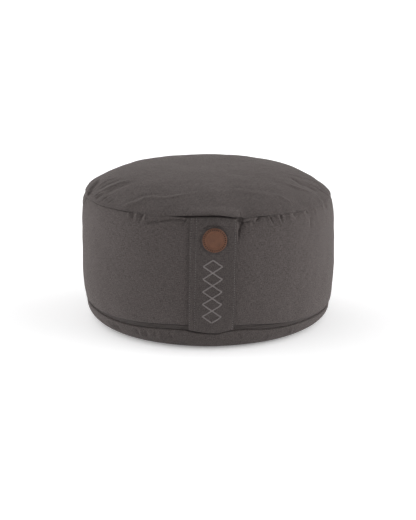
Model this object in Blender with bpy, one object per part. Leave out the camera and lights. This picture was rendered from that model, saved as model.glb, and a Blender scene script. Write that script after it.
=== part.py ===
"""Round zafu meditation cushion: filled body, hidden-coil zip, carry strap and leather patch.

Metres, +Z up. The origin is the middle of the flat the cushion rests on, and the strap is on
the front, towards -Y. An azimuth is counted from the front, positive towards +X.
"""

import math
from typing import NamedTuple

import bmesh
import bpy

# Driving dimensions, in metres unless a name says otherwise.
DIAMETER = 0.300           # across the wall's belly
CROWN_HEIGHT = 0.0318      # top panel's rise above its seam
REST_RADIUS = 0.124        # flat that the base panel is pressed into
LIP_RADIUS = 0.1455        # base panel's upper edge, just below the zip
FLAP_RADIUS = 0.1463       # wall panel's folded lower edge
SEAM_GROOVE = 0.0045       # how far the top seam is drawn in behind the cloth beside it
SEAM_HALF_WIDTH = 0.0011   # half of the top seam's mouth
CROWN_ROLL = 0.80          # power that turns the crown steeply down at its edge
BASE_ROUNDNESS = 2.25      # power of the base panel's side, 2 being an ellipse
WALL_ROUNDNESS_LOW = 3.5   # how late the wall draws in towards the zip
WALL_ROUNDNESS_TOP = 6.0   # how late the wall draws in towards the top seam

CHANNEL_DEPTH = 0.0050     # zip channel, from the lip inwards
CHANNEL_HEIGHT = 0.0095    # the channel goes on up behind the wall's flap
FLAP_THICKNESS = 0.0017
TAPE_THICKNESS = 0.0010
TAPE_HEIGHT = 0.0042
COIL_THICKNESS = 0.0020
COIL_HEIGHT = 0.0052
ZIP_MEETING_AZIMUTH = 2.0  # degrees; the zip's two ends meet here, under the strap
ZIP_END_GAP = 0.0020
GAP = 0.0003               # between pieces that touch

STRAP_THICKNESS = 0.0022   # doubled cloth
STRAP_TUCK = 0.0022        # its top end stops this far below the top seam
STRAP_FOOT_RADIUS = 0.1440 # wall side of its bottom end, in front of the coil
STRAP_FOOT_GAP = 0.0014    # its bottom end above the base panel's edge
STRAP_CLEARANCE = 0.0005   # between the strap and the wall
PATCH_DIAMETER = 0.0272
PATCH_THICKNESS = 0.0015
PATCH_AZIMUTH = 2.9        # degrees
PATCH_HEIGHT = 0.1310      # centre of the patch above the floor

# Steps of the meshes.
BODY_SIDES = 120
ZIP_SIDES = 72
WALL_STEPS = 9
CROWN_STEPS = 7
BASE_STEPS = 4
STRAP_STEPS_ACROSS = 6
STRAP_STEPS_WALL = 19      # from the top seam to the wall's flap
STRAP_STEPS_FOOT = 3       # across the zip
PATCH_SIDES = 40
PATCH_RINGS = 3

RADIUS = DIAMETER / 2


class Around(NamedTuple):
    """What changes on the way round the cushion, at one azimuth."""

    azimuth: float        # degrees
    seam_height: float    # top seam above the floor
    seam_radius: float    # top seam from the axis
    overhang: float       # top panel beyond the seam's radius
    lip_height: float     # base panel's upper edge above the floor
    zip_mouth: float      # from the base panel's edge up to the wall's flap
    fullness: float       # power of the crown, higher for a boxier shoulder


AROUND = (
    Around(-165.0, 0.1500, 0.1430, 0.0008, 0.0190, 0.0034, 3.0),
    Around(-105.0, 0.1502, 0.1430, 0.0010, 0.0195, 0.0032, 3.5),
    Around(-70.0, 0.1500, 0.1432, 0.0010, 0.0200, 0.0032, 3.8),
    Around(-40.0, 0.1517, 0.1430, 0.0010, 0.0200, 0.0058, 3.5),
    Around(-12.0, 0.1538, 0.1430, 0.0030, 0.0232, 0.0064, 3.0),
    Around(3.0, 0.1555, 0.1430, 0.0050, 0.0212, 0.0066, 3.0),
    Around(15.0, 0.1513, 0.1430, 0.0030, 0.0226, 0.0054, 2.9),
    Around(30.0, 0.1508, 0.1432, 0.0010, 0.0188, 0.0060, 2.8),
    Around(50.0, 0.1487, 0.1436, 0.0008, 0.0178, 0.0042, 2.8),
    Around(85.0, 0.1460, 0.1438, 0.0008, 0.0168, 0.0030, 2.9),
    Around(130.0, 0.1485, 0.1436, 0.0008, 0.0176, 0.0032, 2.9),
)


class Fold(NamedTuple):
    """One gather of the wall and the top panel, drawn into the top seam."""

    azimuth: float       # degrees
    half_width: float    # degrees
    depth: float         # at the seam
    down: float          # how far it runs down the wall
    up: float            # how far it runs up the crown


FOLDS = (
    Fold(-87.0, 3.5, 0.0012, 0.010, 0.030),
    Fold(-36.0, 3.5, 0.0022, 0.014, 0.008),
    Fold(-30.0, 3.5, 0.0018, 0.013, 0.008),
    Fold(15.0, 3.5, 0.0034, 0.030, 0.014),
    Fold(24.0, 3.5, 0.0026, 0.013, 0.008),
    Fold(30.0, 3.2, 0.0022, 0.013, 0.006),
    Fold(39.0, 3.5, 0.0022, 0.014, 0.006),
    Fold(48.0, 4.0, 0.0026, 0.015, 0.010),
    Fold(57.0, 3.5, 0.0016, 0.020, 0.010),
    Fold(69.0, 3.5, 0.0022, 0.020, 0.016),
    Fold(-150.0, 3.5, 0.0018, 0.014, 0.010),
    Fold(-117.0, 3.5, 0.0016, 0.014, 0.010),
    Fold(108.0, 3.5, 0.0018, 0.014, 0.010),
    Fold(144.0, 3.5, 0.0016, 0.014, 0.010),
    Fold(171.0, 3.5, 0.0020, 0.014, 0.010),
)


class StrapEdge(NamedTuple):
    """Where one end of the strap lies between its two long edges, in degrees."""

    left: float
    right: float


STRAP_TOP = StrapEdge(-7.9, 13.1)
STRAP_BOTTOM = StrapEdge(-8.6, 11.8)


class Finish(NamedTuple):
    """One material: name, linear colour, roughness and metallic value."""

    name: str
    colour: tuple
    roughness: float
    metallic: float = 0.0


CANVAS = Finish("canvas", (0.105, 0.093, 0.090, 1.0), 0.92)
STRAP_CANVAS = Finish("strap_canvas", (0.100, 0.089, 0.086, 1.0), 0.92)
ZIP_TAPE = Finish("zip_tape", (0.060, 0.053, 0.051, 1.0), 0.85)
ZIP_COIL = Finish("zip_coil", (0.045, 0.041, 0.040, 1.0), 0.45)
LEATHER = Finish("leather", (0.170, 0.068, 0.036, 1.0), 0.60)


# Small helpers.

def polar(azimuth, radius, height):
    """Point at an azimuth in degrees, a radius and a height."""
    angle = math.radians(azimuth)
    return (radius * math.sin(angle), -radius * math.cos(angle), height)


def lerp(first, second, share):
    """Value that far between two others."""
    return first + (second - first) * share


def turn_between(start, end):
    """Degrees from one azimuth on to the next, going round towards +X."""
    return (end - start) % 360.0 or 360.0


def around(azimuth, field):
    """A column of AROUND at any azimuth, as a smooth closed curve through its rows."""
    rows = len(AROUND)
    here = next(
        index for index in range(rows)
        if (azimuth - AROUND[index].azimuth) % 360.0
        < turn_between(AROUND[index].azimuth, AROUND[(index + 1) % rows].azimuth)
    )
    before, start, end, after = (AROUND[(here + step) % rows] for step in (-1, 0, 1, 2))
    span = turn_between(start.azimuth, end.azimuth)
    values = [getattr(row, field) for row in (before, start, end, after)]
    slope_in = (values[2] - values[0]) / (turn_between(before.azimuth, start.azimuth) + span)
    slope_out = (values[3] - values[1]) / (span + turn_between(end.azimuth, after.azimuth))
    share = ((azimuth - start.azimuth) % 360.0) / span
    square, cube = share ** 2, share ** 3
    return (
        (2 * cube - 3 * square + 1) * values[1]
        + (cube - 2 * square + share) * span * slope_in
        + (3 * square - 2 * cube) * values[2]
        + (cube - square) * span * slope_out
    )


def fold_depth(azimuth, down, up):
    """How far the gathers draw the cloth in, that far down the wall or up the crown."""
    depth = 0.0
    for fold in FOLDS:
        off = abs((azimuth - fold.azimuth + 180.0) % 360.0 - 180.0) / fold.half_width
        along = down / fold.down + up / fold.up
        if off < 1.0 and along < 1.0:
            across_share = math.cos(off * math.pi / 2) ** 2
            depth += fold.depth * across_share * (1.0 - along) ** 1.5
    return depth


# The cushion's outline, from the floor up.

def wall_radius(azimuth, height):
    """Wall panel's radius at a height between its flap and the top seam."""
    low = around(azimuth, "lip_height") + around(azimuth, "zip_mouth")
    seam_height = around(azimuth, "seam_height")
    seam_radius = around(azimuth, "seam_radius")
    share = (height - low) / (seam_height - low)
    straight = lerp(FLAP_RADIUS, seam_radius, share)
    power = WALL_ROUNDNESS_LOW if share < 0.5 else WALL_ROUNDNESS_TOP
    belly = RADIUS - lerp(FLAP_RADIUS, seam_radius, 0.5)
    return straight + belly * (1.0 - abs(2.0 * share - 1.0) ** power)


def base_ring(azimuth, step):
    """Radius and height on the base panel's side, from the rest flat to the lip."""
    angle = math.pi / 2 * step / BASE_STEPS
    lip_height = around(azimuth, "lip_height")
    out = math.sin(angle) ** (2 / BASE_ROUNDNESS)
    up = 1.0 - math.cos(angle) ** (2 / BASE_ROUNDNESS)
    return lerp(REST_RADIUS, LIP_RADIUS, out), lip_height * up


def channel_rings(azimuth):
    """Radii and heights round the zip channel, from its floor up to the flap's edge."""
    lip_height = around(azimuth, "lip_height")
    flap_height = lip_height + around(azimuth, "zip_mouth")
    floor_radius = LIP_RADIUS - CHANNEL_DEPTH
    flap_inside = FLAP_RADIUS - FLAP_THICKNESS
    return [
        (floor_radius, lip_height),
        (floor_radius, lip_height + CHANNEL_HEIGHT),
        (flap_inside, lip_height + CHANNEL_HEIGHT),
        (flap_inside, flap_height),
        (FLAP_RADIUS, flap_height),
    ]


def wall_rings(azimuth):
    """Radii and heights up the wall, closer together near the two seams."""
    low = around(azimuth, "lip_height") + around(azimuth, "zip_mouth")
    top = around(azimuth, "seam_height") - SEAM_HALF_WIDTH
    rings = []
    for step in range(1, WALL_STEPS + 1):
        share = 0.5 - 0.5 * math.cos(math.pi * step / WALL_STEPS)
        height = lerp(low, top, share)
        drawn_in = fold_depth(azimuth, top - height, 0.0)
        rings.append((wall_radius(azimuth, height) - drawn_in, height))
    return rings


def crown_rings(azimuth):
    """Radii and heights over the top panel, from its edge in towards the middle."""
    seam_height = around(azimuth, "seam_height")
    edge = around(azimuth, "seam_radius") + around(azimuth, "overhang")
    fullness = around(azimuth, "fullness")
    low = seam_height + SEAM_HALF_WIDTH
    top = crown_top() - low
    rings = []
    for step in range(CROWN_STEPS):
        share = math.cos(math.pi / 2 * step / CROWN_STEPS)
        height = low + top * (1.0 - share ** fullness) ** CROWN_ROLL
        drawn_in = fold_depth(azimuth, 0.0, edge * (1.0 - share))
        rings.append((edge * share - drawn_in, height))
    return rings


def crown_top():
    """Height of the cushion's middle."""
    return sum(row.seam_height for row in AROUND) / len(AROUND) + CROWN_HEIGHT


def body_rings(azimuth):
    """The whole outline at one azimuth, as radii and heights from the rest flat to the crown."""
    seam = (around(azimuth, "seam_radius") - SEAM_GROOVE, around(azimuth, "seam_height"))
    return (
        [base_ring(azimuth, step) for step in range(BASE_STEPS + 1)]
        + channel_rings(azimuth)
        + wall_rings(azimuth)
        + [seam]
        + crown_rings(azimuth)
    )


# Meshes and materials.

def make_material(finish):
    """Principled material of one finish."""
    material = bpy.data.materials.new(finish.name)
    material.use_nodes = True
    shader = material.node_tree.nodes["Principled BSDF"]
    shader.inputs["Base Color"].default_value = finish.colour
    shader.inputs["Roughness"].default_value = finish.roughness
    shader.inputs["Metallic"].default_value = finish.metallic
    return material


def make_object(name, mesh_data, finish):
    """Turn a bmesh into a named object with one material, shaded smooth."""
    bmesh.ops.recalc_face_normals(mesh_data, faces=mesh_data.faces)
    mesh = bpy.data.meshes.new(name)
    mesh_data.to_mesh(mesh)
    mesh_data.free()
    mesh.materials.append(make_material(finish))
    mesh.shade_smooth()
    mesh.set_sharp_from_angle(angle=math.radians(50))
    piece = bpy.data.objects.new(name, mesh)
    bpy.context.scene.collection.objects.link(piece)
    return piece


def skin(mesh_data, rows):
    """Quads between successive closed rows of vertices."""
    columns = len(rows[0])
    for first, second in zip(rows, rows[1:]):
        for column in range(columns):
            beside = (column + 1) % columns
            mesh_data.faces.new((first[column], first[beside], second[beside], second[column]))


def add_row(mesh_data, points):
    """Vertices at a row of points."""
    return [mesh_data.verts.new(point) for point in points]


def build_body():
    """The filled cushion: base, zip channel, wall, seam and crown in one closed solid."""
    mesh_data = bmesh.new()
    azimuths = [360.0 * side / BODY_SIDES for side in range(BODY_SIDES)]
    outlines = [body_rings(azimuth) for azimuth in azimuths]
    rows = []
    for ring in range(len(outlines[0])):
        points = [polar(azimuth, *outline[ring]) for azimuth, outline in zip(azimuths, outlines)]
        rows.append(add_row(mesh_data, points))
    skin(mesh_data, rows)
    mesh_data.faces.new(rows[0])
    middle = mesh_data.verts.new((0.0, 0.0, crown_top()))
    for side in range(BODY_SIDES):
        mesh_data.faces.new((rows[-1][side], rows[-1][(side + 1) % BODY_SIDES], middle))
    return make_object("cushion_body", mesh_data, CANVAS)


def build_zip_ring(name, inner_radius, thickness, rise, height, finish):
    """One strip of the zip: an open ring in the channel, rise above the base panel's lip."""
    mesh_data = bmesh.new()
    half_gap = math.degrees(ZIP_END_GAP / 2 / inner_radius)
    start = ZIP_MEETING_AZIMUTH + half_gap
    sweep = 360.0 - 2 * half_gap
    rows = []
    for side in range(ZIP_SIDES + 1):
        azimuth = start + sweep * side / ZIP_SIDES
        low = around(azimuth, "lip_height") + rise
        section = (
            (inner_radius, low),
            (inner_radius + thickness, low),
            (inner_radius + thickness, low + height),
            (inner_radius, low + height),
        )
        rows.append(add_row(mesh_data, [polar(azimuth, *corner) for corner in section]))
    skin(mesh_data, rows)
    mesh_data.faces.new(rows[0])
    mesh_data.faces.new(rows[-1])
    return make_object(name, mesh_data, finish)


def build_zip():
    """Two tapes on the channel's floor and the coil in front of where they meet."""
    tape_radius = LIP_RADIUS - CHANNEL_DEPTH + GAP
    coil_radius = tape_radius + TAPE_THICKNESS + GAP
    upper_rise = 2 * GAP + TAPE_HEIGHT
    build_zip_ring("zip_tape_lower", tape_radius, TAPE_THICKNESS, GAP, TAPE_HEIGHT, ZIP_TAPE)
    build_zip_ring("zip_tape_upper", tape_radius, TAPE_THICKNESS, upper_rise, TAPE_HEIGHT, ZIP_TAPE)
    build_zip_ring("zip_coil", coil_radius, COIL_THICKNESS, GAP, COIL_HEIGHT, ZIP_COIL)


def strap_path(azimuth):
    """Radii and heights of the wall under the strap, from its top end to its bottom end."""
    top = around(azimuth, "seam_height") - STRAP_TUCK
    flap_height = around(azimuth, "lip_height") + around(azimuth, "zip_mouth")
    bottom = around(azimuth, "lip_height") + STRAP_FOOT_GAP
    path = []
    for step in range(STRAP_STEPS_WALL + 1):
        height = lerp(top, flap_height, step / STRAP_STEPS_WALL)
        path.append((wall_radius(azimuth, height), height))
    for step in range(1, STRAP_STEPS_FOOT + 1):
        share = step / STRAP_STEPS_FOOT
        path.append((lerp(FLAP_RADIUS, STRAP_FOOT_RADIUS, share), lerp(flap_height, bottom, share)))
    return path


def offset_path(path, distance):
    """A path moved out from the axis, square to its own run."""
    moved = []
    for index, (radius, height) in enumerate(path):
        before = path[max(index - 1, 0)]
        after = path[min(index + 1, len(path) - 1)]
        run_out = after[0] - before[0]
        run_down = before[1] - after[1]
        length = math.hypot(run_out, run_down)
        moved.append((radius + distance * run_down / length, height + distance * run_out / length))
    return moved


def strap_azimuth(across, down):
    """Azimuth on the strap, 0 to 1 across from its left edge and 0 to 1 down."""
    left = lerp(STRAP_TOP.left, STRAP_BOTTOM.left, down)
    right = lerp(STRAP_TOP.right, STRAP_BOTTOM.right, down)
    return lerp(left, right, across)


def strap_surface(distance):
    """Rows of points down the strap, that far out from the wall."""
    rows = []
    steps = STRAP_STEPS_WALL + STRAP_STEPS_FOOT
    for step in range(steps + 1):
        down = step / steps
        row = []
        for column in range(STRAP_STEPS_ACROSS + 1):
            azimuth = strap_azimuth(column / STRAP_STEPS_ACROSS, down)
            row.append(polar(azimuth, *offset_path(strap_path(azimuth), distance)[step]))
        rows.append(row)
    return rows


def build_strap():
    """The flat carry strap, lying down the wall and across the zip."""
    mesh_data = bmesh.new()
    back = strap_surface(STRAP_CLEARANCE)
    front = strap_surface(STRAP_CLEARANCE + STRAP_THICKNESS)
    rows = [
        add_row(mesh_data, back_row + front_row[::-1])
        for back_row, front_row in zip(back, front)
    ]
    skin(mesh_data, rows)
    for row in (rows[0], rows[-1]):
        for column in range(STRAP_STEPS_ACROSS):
            partner = 2 * STRAP_STEPS_ACROSS + 1 - column
            mesh_data.faces.new((row[column], row[column + 1], row[partner - 1], row[partner]))
    return make_object("carry_strap", mesh_data, STRAP_CANVAS)


def patch_row(radius, distance):
    """Points of one ring of the patch, that far out from the wall."""
    points = []
    for side in range(PATCH_SIDES):
        angle = 2 * math.pi * side / PATCH_SIDES
        height = PATCH_HEIGHT + radius * math.sin(angle)
        turn = math.degrees(radius * math.cos(angle) / RADIUS)
        azimuth = PATCH_AZIMUTH + turn
        points.append(polar(azimuth, wall_radius(azimuth, height) + distance, height))
    return points


def build_patch():
    """The round leather patch, bent to the strap that it is sewn on."""
    mesh_data = bmesh.new()
    back = STRAP_CLEARANCE + STRAP_THICKNESS + GAP
    radii = [PATCH_DIAMETER / 2 * ring / PATCH_RINGS for ring in range(1, PATCH_RINGS + 1)]
    rows = [add_row(mesh_data, patch_row(radius, back)) for radius in radii]
    rows += [
        add_row(mesh_data, patch_row(radius, back + PATCH_THICKNESS)) for radius in radii[::-1]
    ]
    skin(mesh_data, rows)
    for row, distance in ((rows[0], back), (rows[-1], back + PATCH_THICKNESS)):
        centre_radius = wall_radius(PATCH_AZIMUTH, PATCH_HEIGHT) + distance
        middle = mesh_data.verts.new(polar(PATCH_AZIMUTH, centre_radius, PATCH_HEIGHT))
        for side in range(PATCH_SIDES):
            mesh_data.faces.new((row[side], row[(side + 1) % PATCH_SIDES], middle))
    return make_object("leather_patch", mesh_data, LEATHER)


def main():
    """Clear the scene and build every piece."""
    for old in list(bpy.data.objects):
        bpy.data.objects.remove(old)
    build_body()
    build_zip()
    build_strap()
    build_patch()


main()
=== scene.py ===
"""Looks of a round zafu meditation cushion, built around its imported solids.

Metres, +Z up. The strap is on the front, towards -Y. An azimuth is counted in degrees from the
front, positive towards +X, and a height from the floor that the cushion rests on.
"""

import logging
import math
import random
from dataclasses import dataclass, field
from enum import Enum
from typing import Any, Sequence

import bpy
import numpy as np
from mathutils import Matrix, Vector, noise


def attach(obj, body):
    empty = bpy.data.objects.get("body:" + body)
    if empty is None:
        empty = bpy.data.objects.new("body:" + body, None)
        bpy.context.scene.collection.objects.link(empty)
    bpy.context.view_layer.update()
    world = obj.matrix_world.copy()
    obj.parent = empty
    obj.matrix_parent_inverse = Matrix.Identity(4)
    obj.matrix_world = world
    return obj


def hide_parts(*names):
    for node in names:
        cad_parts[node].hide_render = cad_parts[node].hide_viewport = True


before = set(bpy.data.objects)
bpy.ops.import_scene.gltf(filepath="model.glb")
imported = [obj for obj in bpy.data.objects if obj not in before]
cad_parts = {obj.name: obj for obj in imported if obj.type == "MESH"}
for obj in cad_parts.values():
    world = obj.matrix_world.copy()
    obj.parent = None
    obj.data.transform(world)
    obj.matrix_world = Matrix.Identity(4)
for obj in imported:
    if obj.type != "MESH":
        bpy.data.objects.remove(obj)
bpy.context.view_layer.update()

log = logging.getLogger("cushion")
Array = np.ndarray
MM = 0.001


# The cushion's measured outline, shared by every piece.

@dataclass(frozen=True)
class OutlineRow:
    """What changes on the way round the cushion, at one azimuth."""

    azimuth: float        # degrees
    seam_height: float    # top seam above the floor
    seam_radius: float    # top seam from the axis
    lip_height: float     # base panel's upper edge above the floor
    zip_mouth: float      # from the base panel's edge up to the wall's flap
    fullness: float       # power of the crown, higher for a boxier shoulder


OUTLINE_ROWS = tuple(OutlineRow(*row) for row in (
    (-165.0, 0.1500, 0.1430, 0.0190, 0.0034, 2.8),
    (-105.0, 0.1502, 0.1436, 0.0220, 0.0032, 3.4),
    (-70.0, 0.1500, 0.1434, 0.0217, 0.0034, 3.8),
    (-40.0, 0.1517, 0.1430, 0.0200, 0.0058, 3.5),
    (-12.0, 0.1538, 0.1430, 0.0232, 0.0064, 3.0),
    (3.0, 0.1555, 0.1430, 0.0212, 0.0066, 3.0),
    (15.0, 0.1513, 0.1430, 0.0226, 0.0062, 2.9),
    (30.0, 0.1508, 0.1432, 0.0188, 0.0066, 2.8),
    (50.0, 0.1487, 0.1436, 0.0178, 0.0042, 2.8),
    (85.0, 0.1460, 0.1438, 0.0168, 0.0030, 2.9),
    (130.0, 0.1485, 0.1436, 0.0176, 0.0032, 2.9),
))


@dataclass(frozen=True)
class SeamRow:
    """How tightly the top seam is drawn in at one azimuth."""

    azimuth: float   # degrees
    depth: float     # behind the cloth beside it
    mouth: float     # half of its opening
    overhang: float  # top panel's edge beyond the wall's


SEAM_ROWS = tuple(SeamRow(*row) for row in (
    (-180.0, 0.0028, 0.0006, 0.0008),
    (-125.0, 0.0026, 0.0005, 0.0016),
    (-100.0, 0.0026, 0.0005, 0.0026),
    (-72.0, 0.0026, 0.0005, 0.0018),
    (-37.0, 0.0024, 0.0004, 0.0004),
    (-34.5, 0.0006, 0.0001, 0.0000),
    (-18.0, 0.0004, 0.0001, 0.0000),
    (-15.0, 0.0016, 0.0002, 0.0008),
    (-10.5, 0.0055, 0.0012, 0.0026),
    (0.0, 0.0055, 0.0012, 0.0048),
    (10.0, 0.0055, 0.0012, 0.0038),
    (14.0, 0.0055, 0.0012, 0.0026),
    (16.0, 0.0014, 0.0003, 0.0006),
    (18.0, 0.0004, 0.0001, 0.0000),
    (21.0, 0.0006, 0.0001, 0.0000),
    (22.5, 0.0036, 0.0008, 0.0008),
    (26.0, 0.0026, 0.0005, 0.0008),
    (32.0, 0.0010, 0.0002, 0.0002),
    (36.0, 0.0004, 0.0001, 0.0000),
    (41.0, 0.0014, 0.0002, 0.0000),
    (45.0, 0.0014, 0.0002, 0.0000),
    (50.0, 0.0003, 0.0001, 0.0000),
    (64.0, 0.0003, 0.0001, 0.0000),
    (66.5, 0.0022, 0.0004, 0.0006),
    (77.0, 0.0028, 0.0005, 0.0016),
    (95.0, 0.0028, 0.0005, 0.0016),
    (180.0, 0.0028, 0.0006, 0.0008),
))


@dataclass(frozen=True)
class Gather:
    """One gather of the wall and the top panel, drawn into the top seam."""

    azimuth: float       # degrees
    half_width: float    # degrees
    depth: float         # at the seam
    down: float          # how far it runs down the wall
    up: float            # how far it runs up the crown


GATHERS = tuple(Gather(*row) for row in (
    (-87.0, 3.5, 0.0005, 0.010, 0.020),
    (-35.4, 1.8, 0.0006, 0.012, 0.002),
    (-30.6, 1.8, 0.0009, 0.012, 0.002),
    (14.2, 2.2, 0.0024, 0.026, 0.006),
    (22.8, 1.8, 0.0014, 0.010, 0.002),
    (30.0, 1.6, 0.0010, 0.010, 0.002),
    (36.3, 1.6, 0.0010, 0.012, 0.002),
    (43.4, 2.2, 0.0016, 0.015, 0.002),
    (52.4, 2.2, 0.0012, 0.018, 0.003),
    (69.0, 3.0, 0.0014, 0.020, 0.005),
    (-150.0, 3.0, 0.0018, 0.014, 0.006),
    (-117.0, 3.0, 0.0016, 0.014, 0.006),
    (108.0, 3.0, 0.0018, 0.014, 0.006),
    (144.0, 3.0, 0.0016, 0.014, 0.006),
    (171.0, 3.0, 0.0020, 0.014, 0.006),
))


def polar(azimuth: Array, radius: Array, height: Array) -> Array:
    """Points in space from azimuths in degrees, radii and heights.

    Args:
        azimuth: Degrees from the front.
        radius: Distance from the axis.
        height: Height above the floor.

    Returns:
        Points, with their coordinates in the last axis.
    """
    angle = np.radians(azimuth)
    parts = np.broadcast_arrays(radius * np.sin(angle), -radius * np.cos(angle), height)
    return np.stack(parts, axis=-1)


def blend(first: Any, second: Any, share: Any) -> Any:
    """Value that far between two others."""
    return first + (second - first) * share


def ease(share: Array) -> Array:
    """Share from 0 to 1, made to start and end gently."""
    held = np.clip(share, 0.0, 1.0)
    return held * held * (3.0 - 2.0 * held)


def within(place: Array, low: float, high: float, fade: tuple[float, float]) -> Array:
    """Share from 0 to 1 of being between two places, with a fade inside each."""
    return ease((place - low) / fade[0]) * ease((high - place) / fade[1])


def bell(off: Array, width: float) -> Array:
    """A bell of height 1 about 0, with that half width."""
    return np.exp(-((off / width) ** 2))


@dataclass(frozen=True)
class Outline:
    """The cushion's outline: crown, wall, zip channel and base, as its solid has them."""

    radius: float = 0.150              # across the wall's belly
    crown_height: float = 0.0318       # top panel's rise above its seam
    rest_radius: float = 0.1243        # flat that the base panel is pressed into
    rest_oval: float = 0.0025          # longer than that to the front, shorter to the sides
    lip_radius: float = 0.1455         # base panel's upper edge
    flap_radius: float = 0.1463        # wall panel's folded lower edge
    crown_roll: float = 0.80           # turns the crown steeply down at its edge
    edge_band: float = 0.014           # of the top panel, which its seam pulls out of round
    base_roundness: float = 2.1
    wall_roundness_low: float = 3.5
    wall_roundness_top: float = 6.0
    channel_depth: float = 0.0050
    channel_height: float = 0.0095
    flap_thickness: float = 0.0017

    def around(self, azimuth: Array, column: str) -> Array:
        """A column of the outline's rows at any azimuth, as a smooth closed curve.

        Args:
            azimuth: Degrees from the front.
            column: Name of an OutlineRow field.

        Returns:
            The column's value at each azimuth.
        """
        starts = np.array([row.azimuth for row in OUTLINE_ROWS])
        values = np.array([getattr(row, column) for row in OUTLINE_ROWS])
        spans = (np.roll(starts, -1) - starts) % 360.0
        slopes = (np.roll(values, -1) - np.roll(values, 1)) / (spans + np.roll(spans, 1))
        begins = np.concatenate(([0.0], np.cumsum(spans)[:-1]))
        turned = (np.asarray(azimuth, float) - starts[0]) % 360.0
        here = np.searchsorted(begins, turned, side="right") - 1
        after = (here + 1) % len(starts)
        share = (turned - begins[here]) / spans[here]
        square, cube = share ** 2, share ** 3
        return (
            (2 * cube - 3 * square + 1) * values[here]
            + (cube - 2 * square + share) * spans[here] * slopes[here]
            + (3 * square - 2 * cube) * values[after]
            + (cube - square) * spans[here] * slopes[after]
        )

    def seam(self, azimuth: Array, column: str) -> Array:
        """A column of the seam's rows at any azimuth.

        Args:
            azimuth: Degrees from the front.
            column: Name of a SeamRow field.

        Returns:
            The column's value at each azimuth.
        """
        turned = (np.asarray(azimuth, float) + 180.0) % 360.0 - 180.0
        starts = [row.azimuth for row in SEAM_ROWS]
        return np.interp(turned, starts, [getattr(row, column) for row in SEAM_ROWS])

    def rest_edge(self, azimuth: Array) -> Array:
        """Radius of the flat on the underside."""
        return self.rest_radius + self.rest_oval * np.cos(2 * np.radians(azimuth))

    def flap_height(self, azimuth: Array) -> Array:
        """Height of the wall's folded lower edge."""
        return self.around(azimuth, "lip_height") + self.around(azimuth, "zip_mouth")

    def crown_top(self) -> float:
        """Height of the cushion's middle."""
        heights = [row.seam_height for row in OUTLINE_ROWS]
        return sum(heights) / len(heights) + self.crown_height

    def wall_radius(self, azimuth: Array, height: Array) -> Array:
        """The wall's radius at a height between its flap and the top seam.

        Args:
            azimuth: Degrees from the front.
            height: Height above the floor.

        Returns:
            Distance of the cloth from the axis.
        """
        low = self.flap_height(azimuth)
        seam_radius = self.around(azimuth, "seam_radius")
        share = (height - low) / (self.around(azimuth, "seam_height") - low)
        power = np.where(share < 0.5, self.wall_roundness_low, self.wall_roundness_top)
        belly = self.radius - blend(self.flap_radius, seam_radius, 0.5)
        roundness = 1.0 - np.abs(2.0 * share - 1.0) ** power
        return blend(self.flap_radius, seam_radius, share) + belly * roundness

    def crown_at(self, azimuth: Array, radius: Array) -> Array:
        """The top panel's height at a distance from the axis.

        Args:
            azimuth: Degrees from the front.
            radius: Distance from the axis, up to the panel's edge.

        Returns:
            Height of the cloth above the floor.
        """
        seam_radius, low = self.around(azimuth, "seam_radius"), self.around(azimuth, "seam_height")
        overhang = self.seam(azimuth, "overhang")
        inner = seam_radius - self.edge_band
        near = ease((radius - inner) / (self.edge_band + overhang))
        share = np.clip((radius - overhang * near) / seam_radius, 0.0, 1.0)
        rise = (1.0 - share ** self.around(azimuth, "fullness")) ** self.crown_roll
        return low + (self.crown_top() - low) * rise + self.seam(azimuth, "mouth") * near

    def gather_depth(self, azimuth: Array, down: Array, up: Array) -> Array:
        """How far the gathers draw the cloth in.

        Args:
            azimuth: Degrees from the front.
            down: Distance down the wall from the seam.
            up: Distance up the crown from the seam.

        Returns:
            Depth at each point.
        """
        depth = np.zeros(np.broadcast(azimuth, down, up).shape)
        for gather in GATHERS:
            off = np.abs((azimuth - gather.azimuth + 180.0) % 360.0 - 180.0) / gather.half_width
            along = np.clip(1.0 - down / gather.down - up / gather.up, 0.0, 1.0)
            across = np.cos(np.clip(off, 0.0, 1.0) * math.pi / 2) ** 2
            depth += gather.depth * across * along ** 1.5
        return depth


OUTLINE = Outline()


# Modelling help.

class Shading(Enum):
    """How a finished mesh is shaded."""

    SMOOTH = "smooth"
    BY_ANGLE = "by angle"


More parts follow.
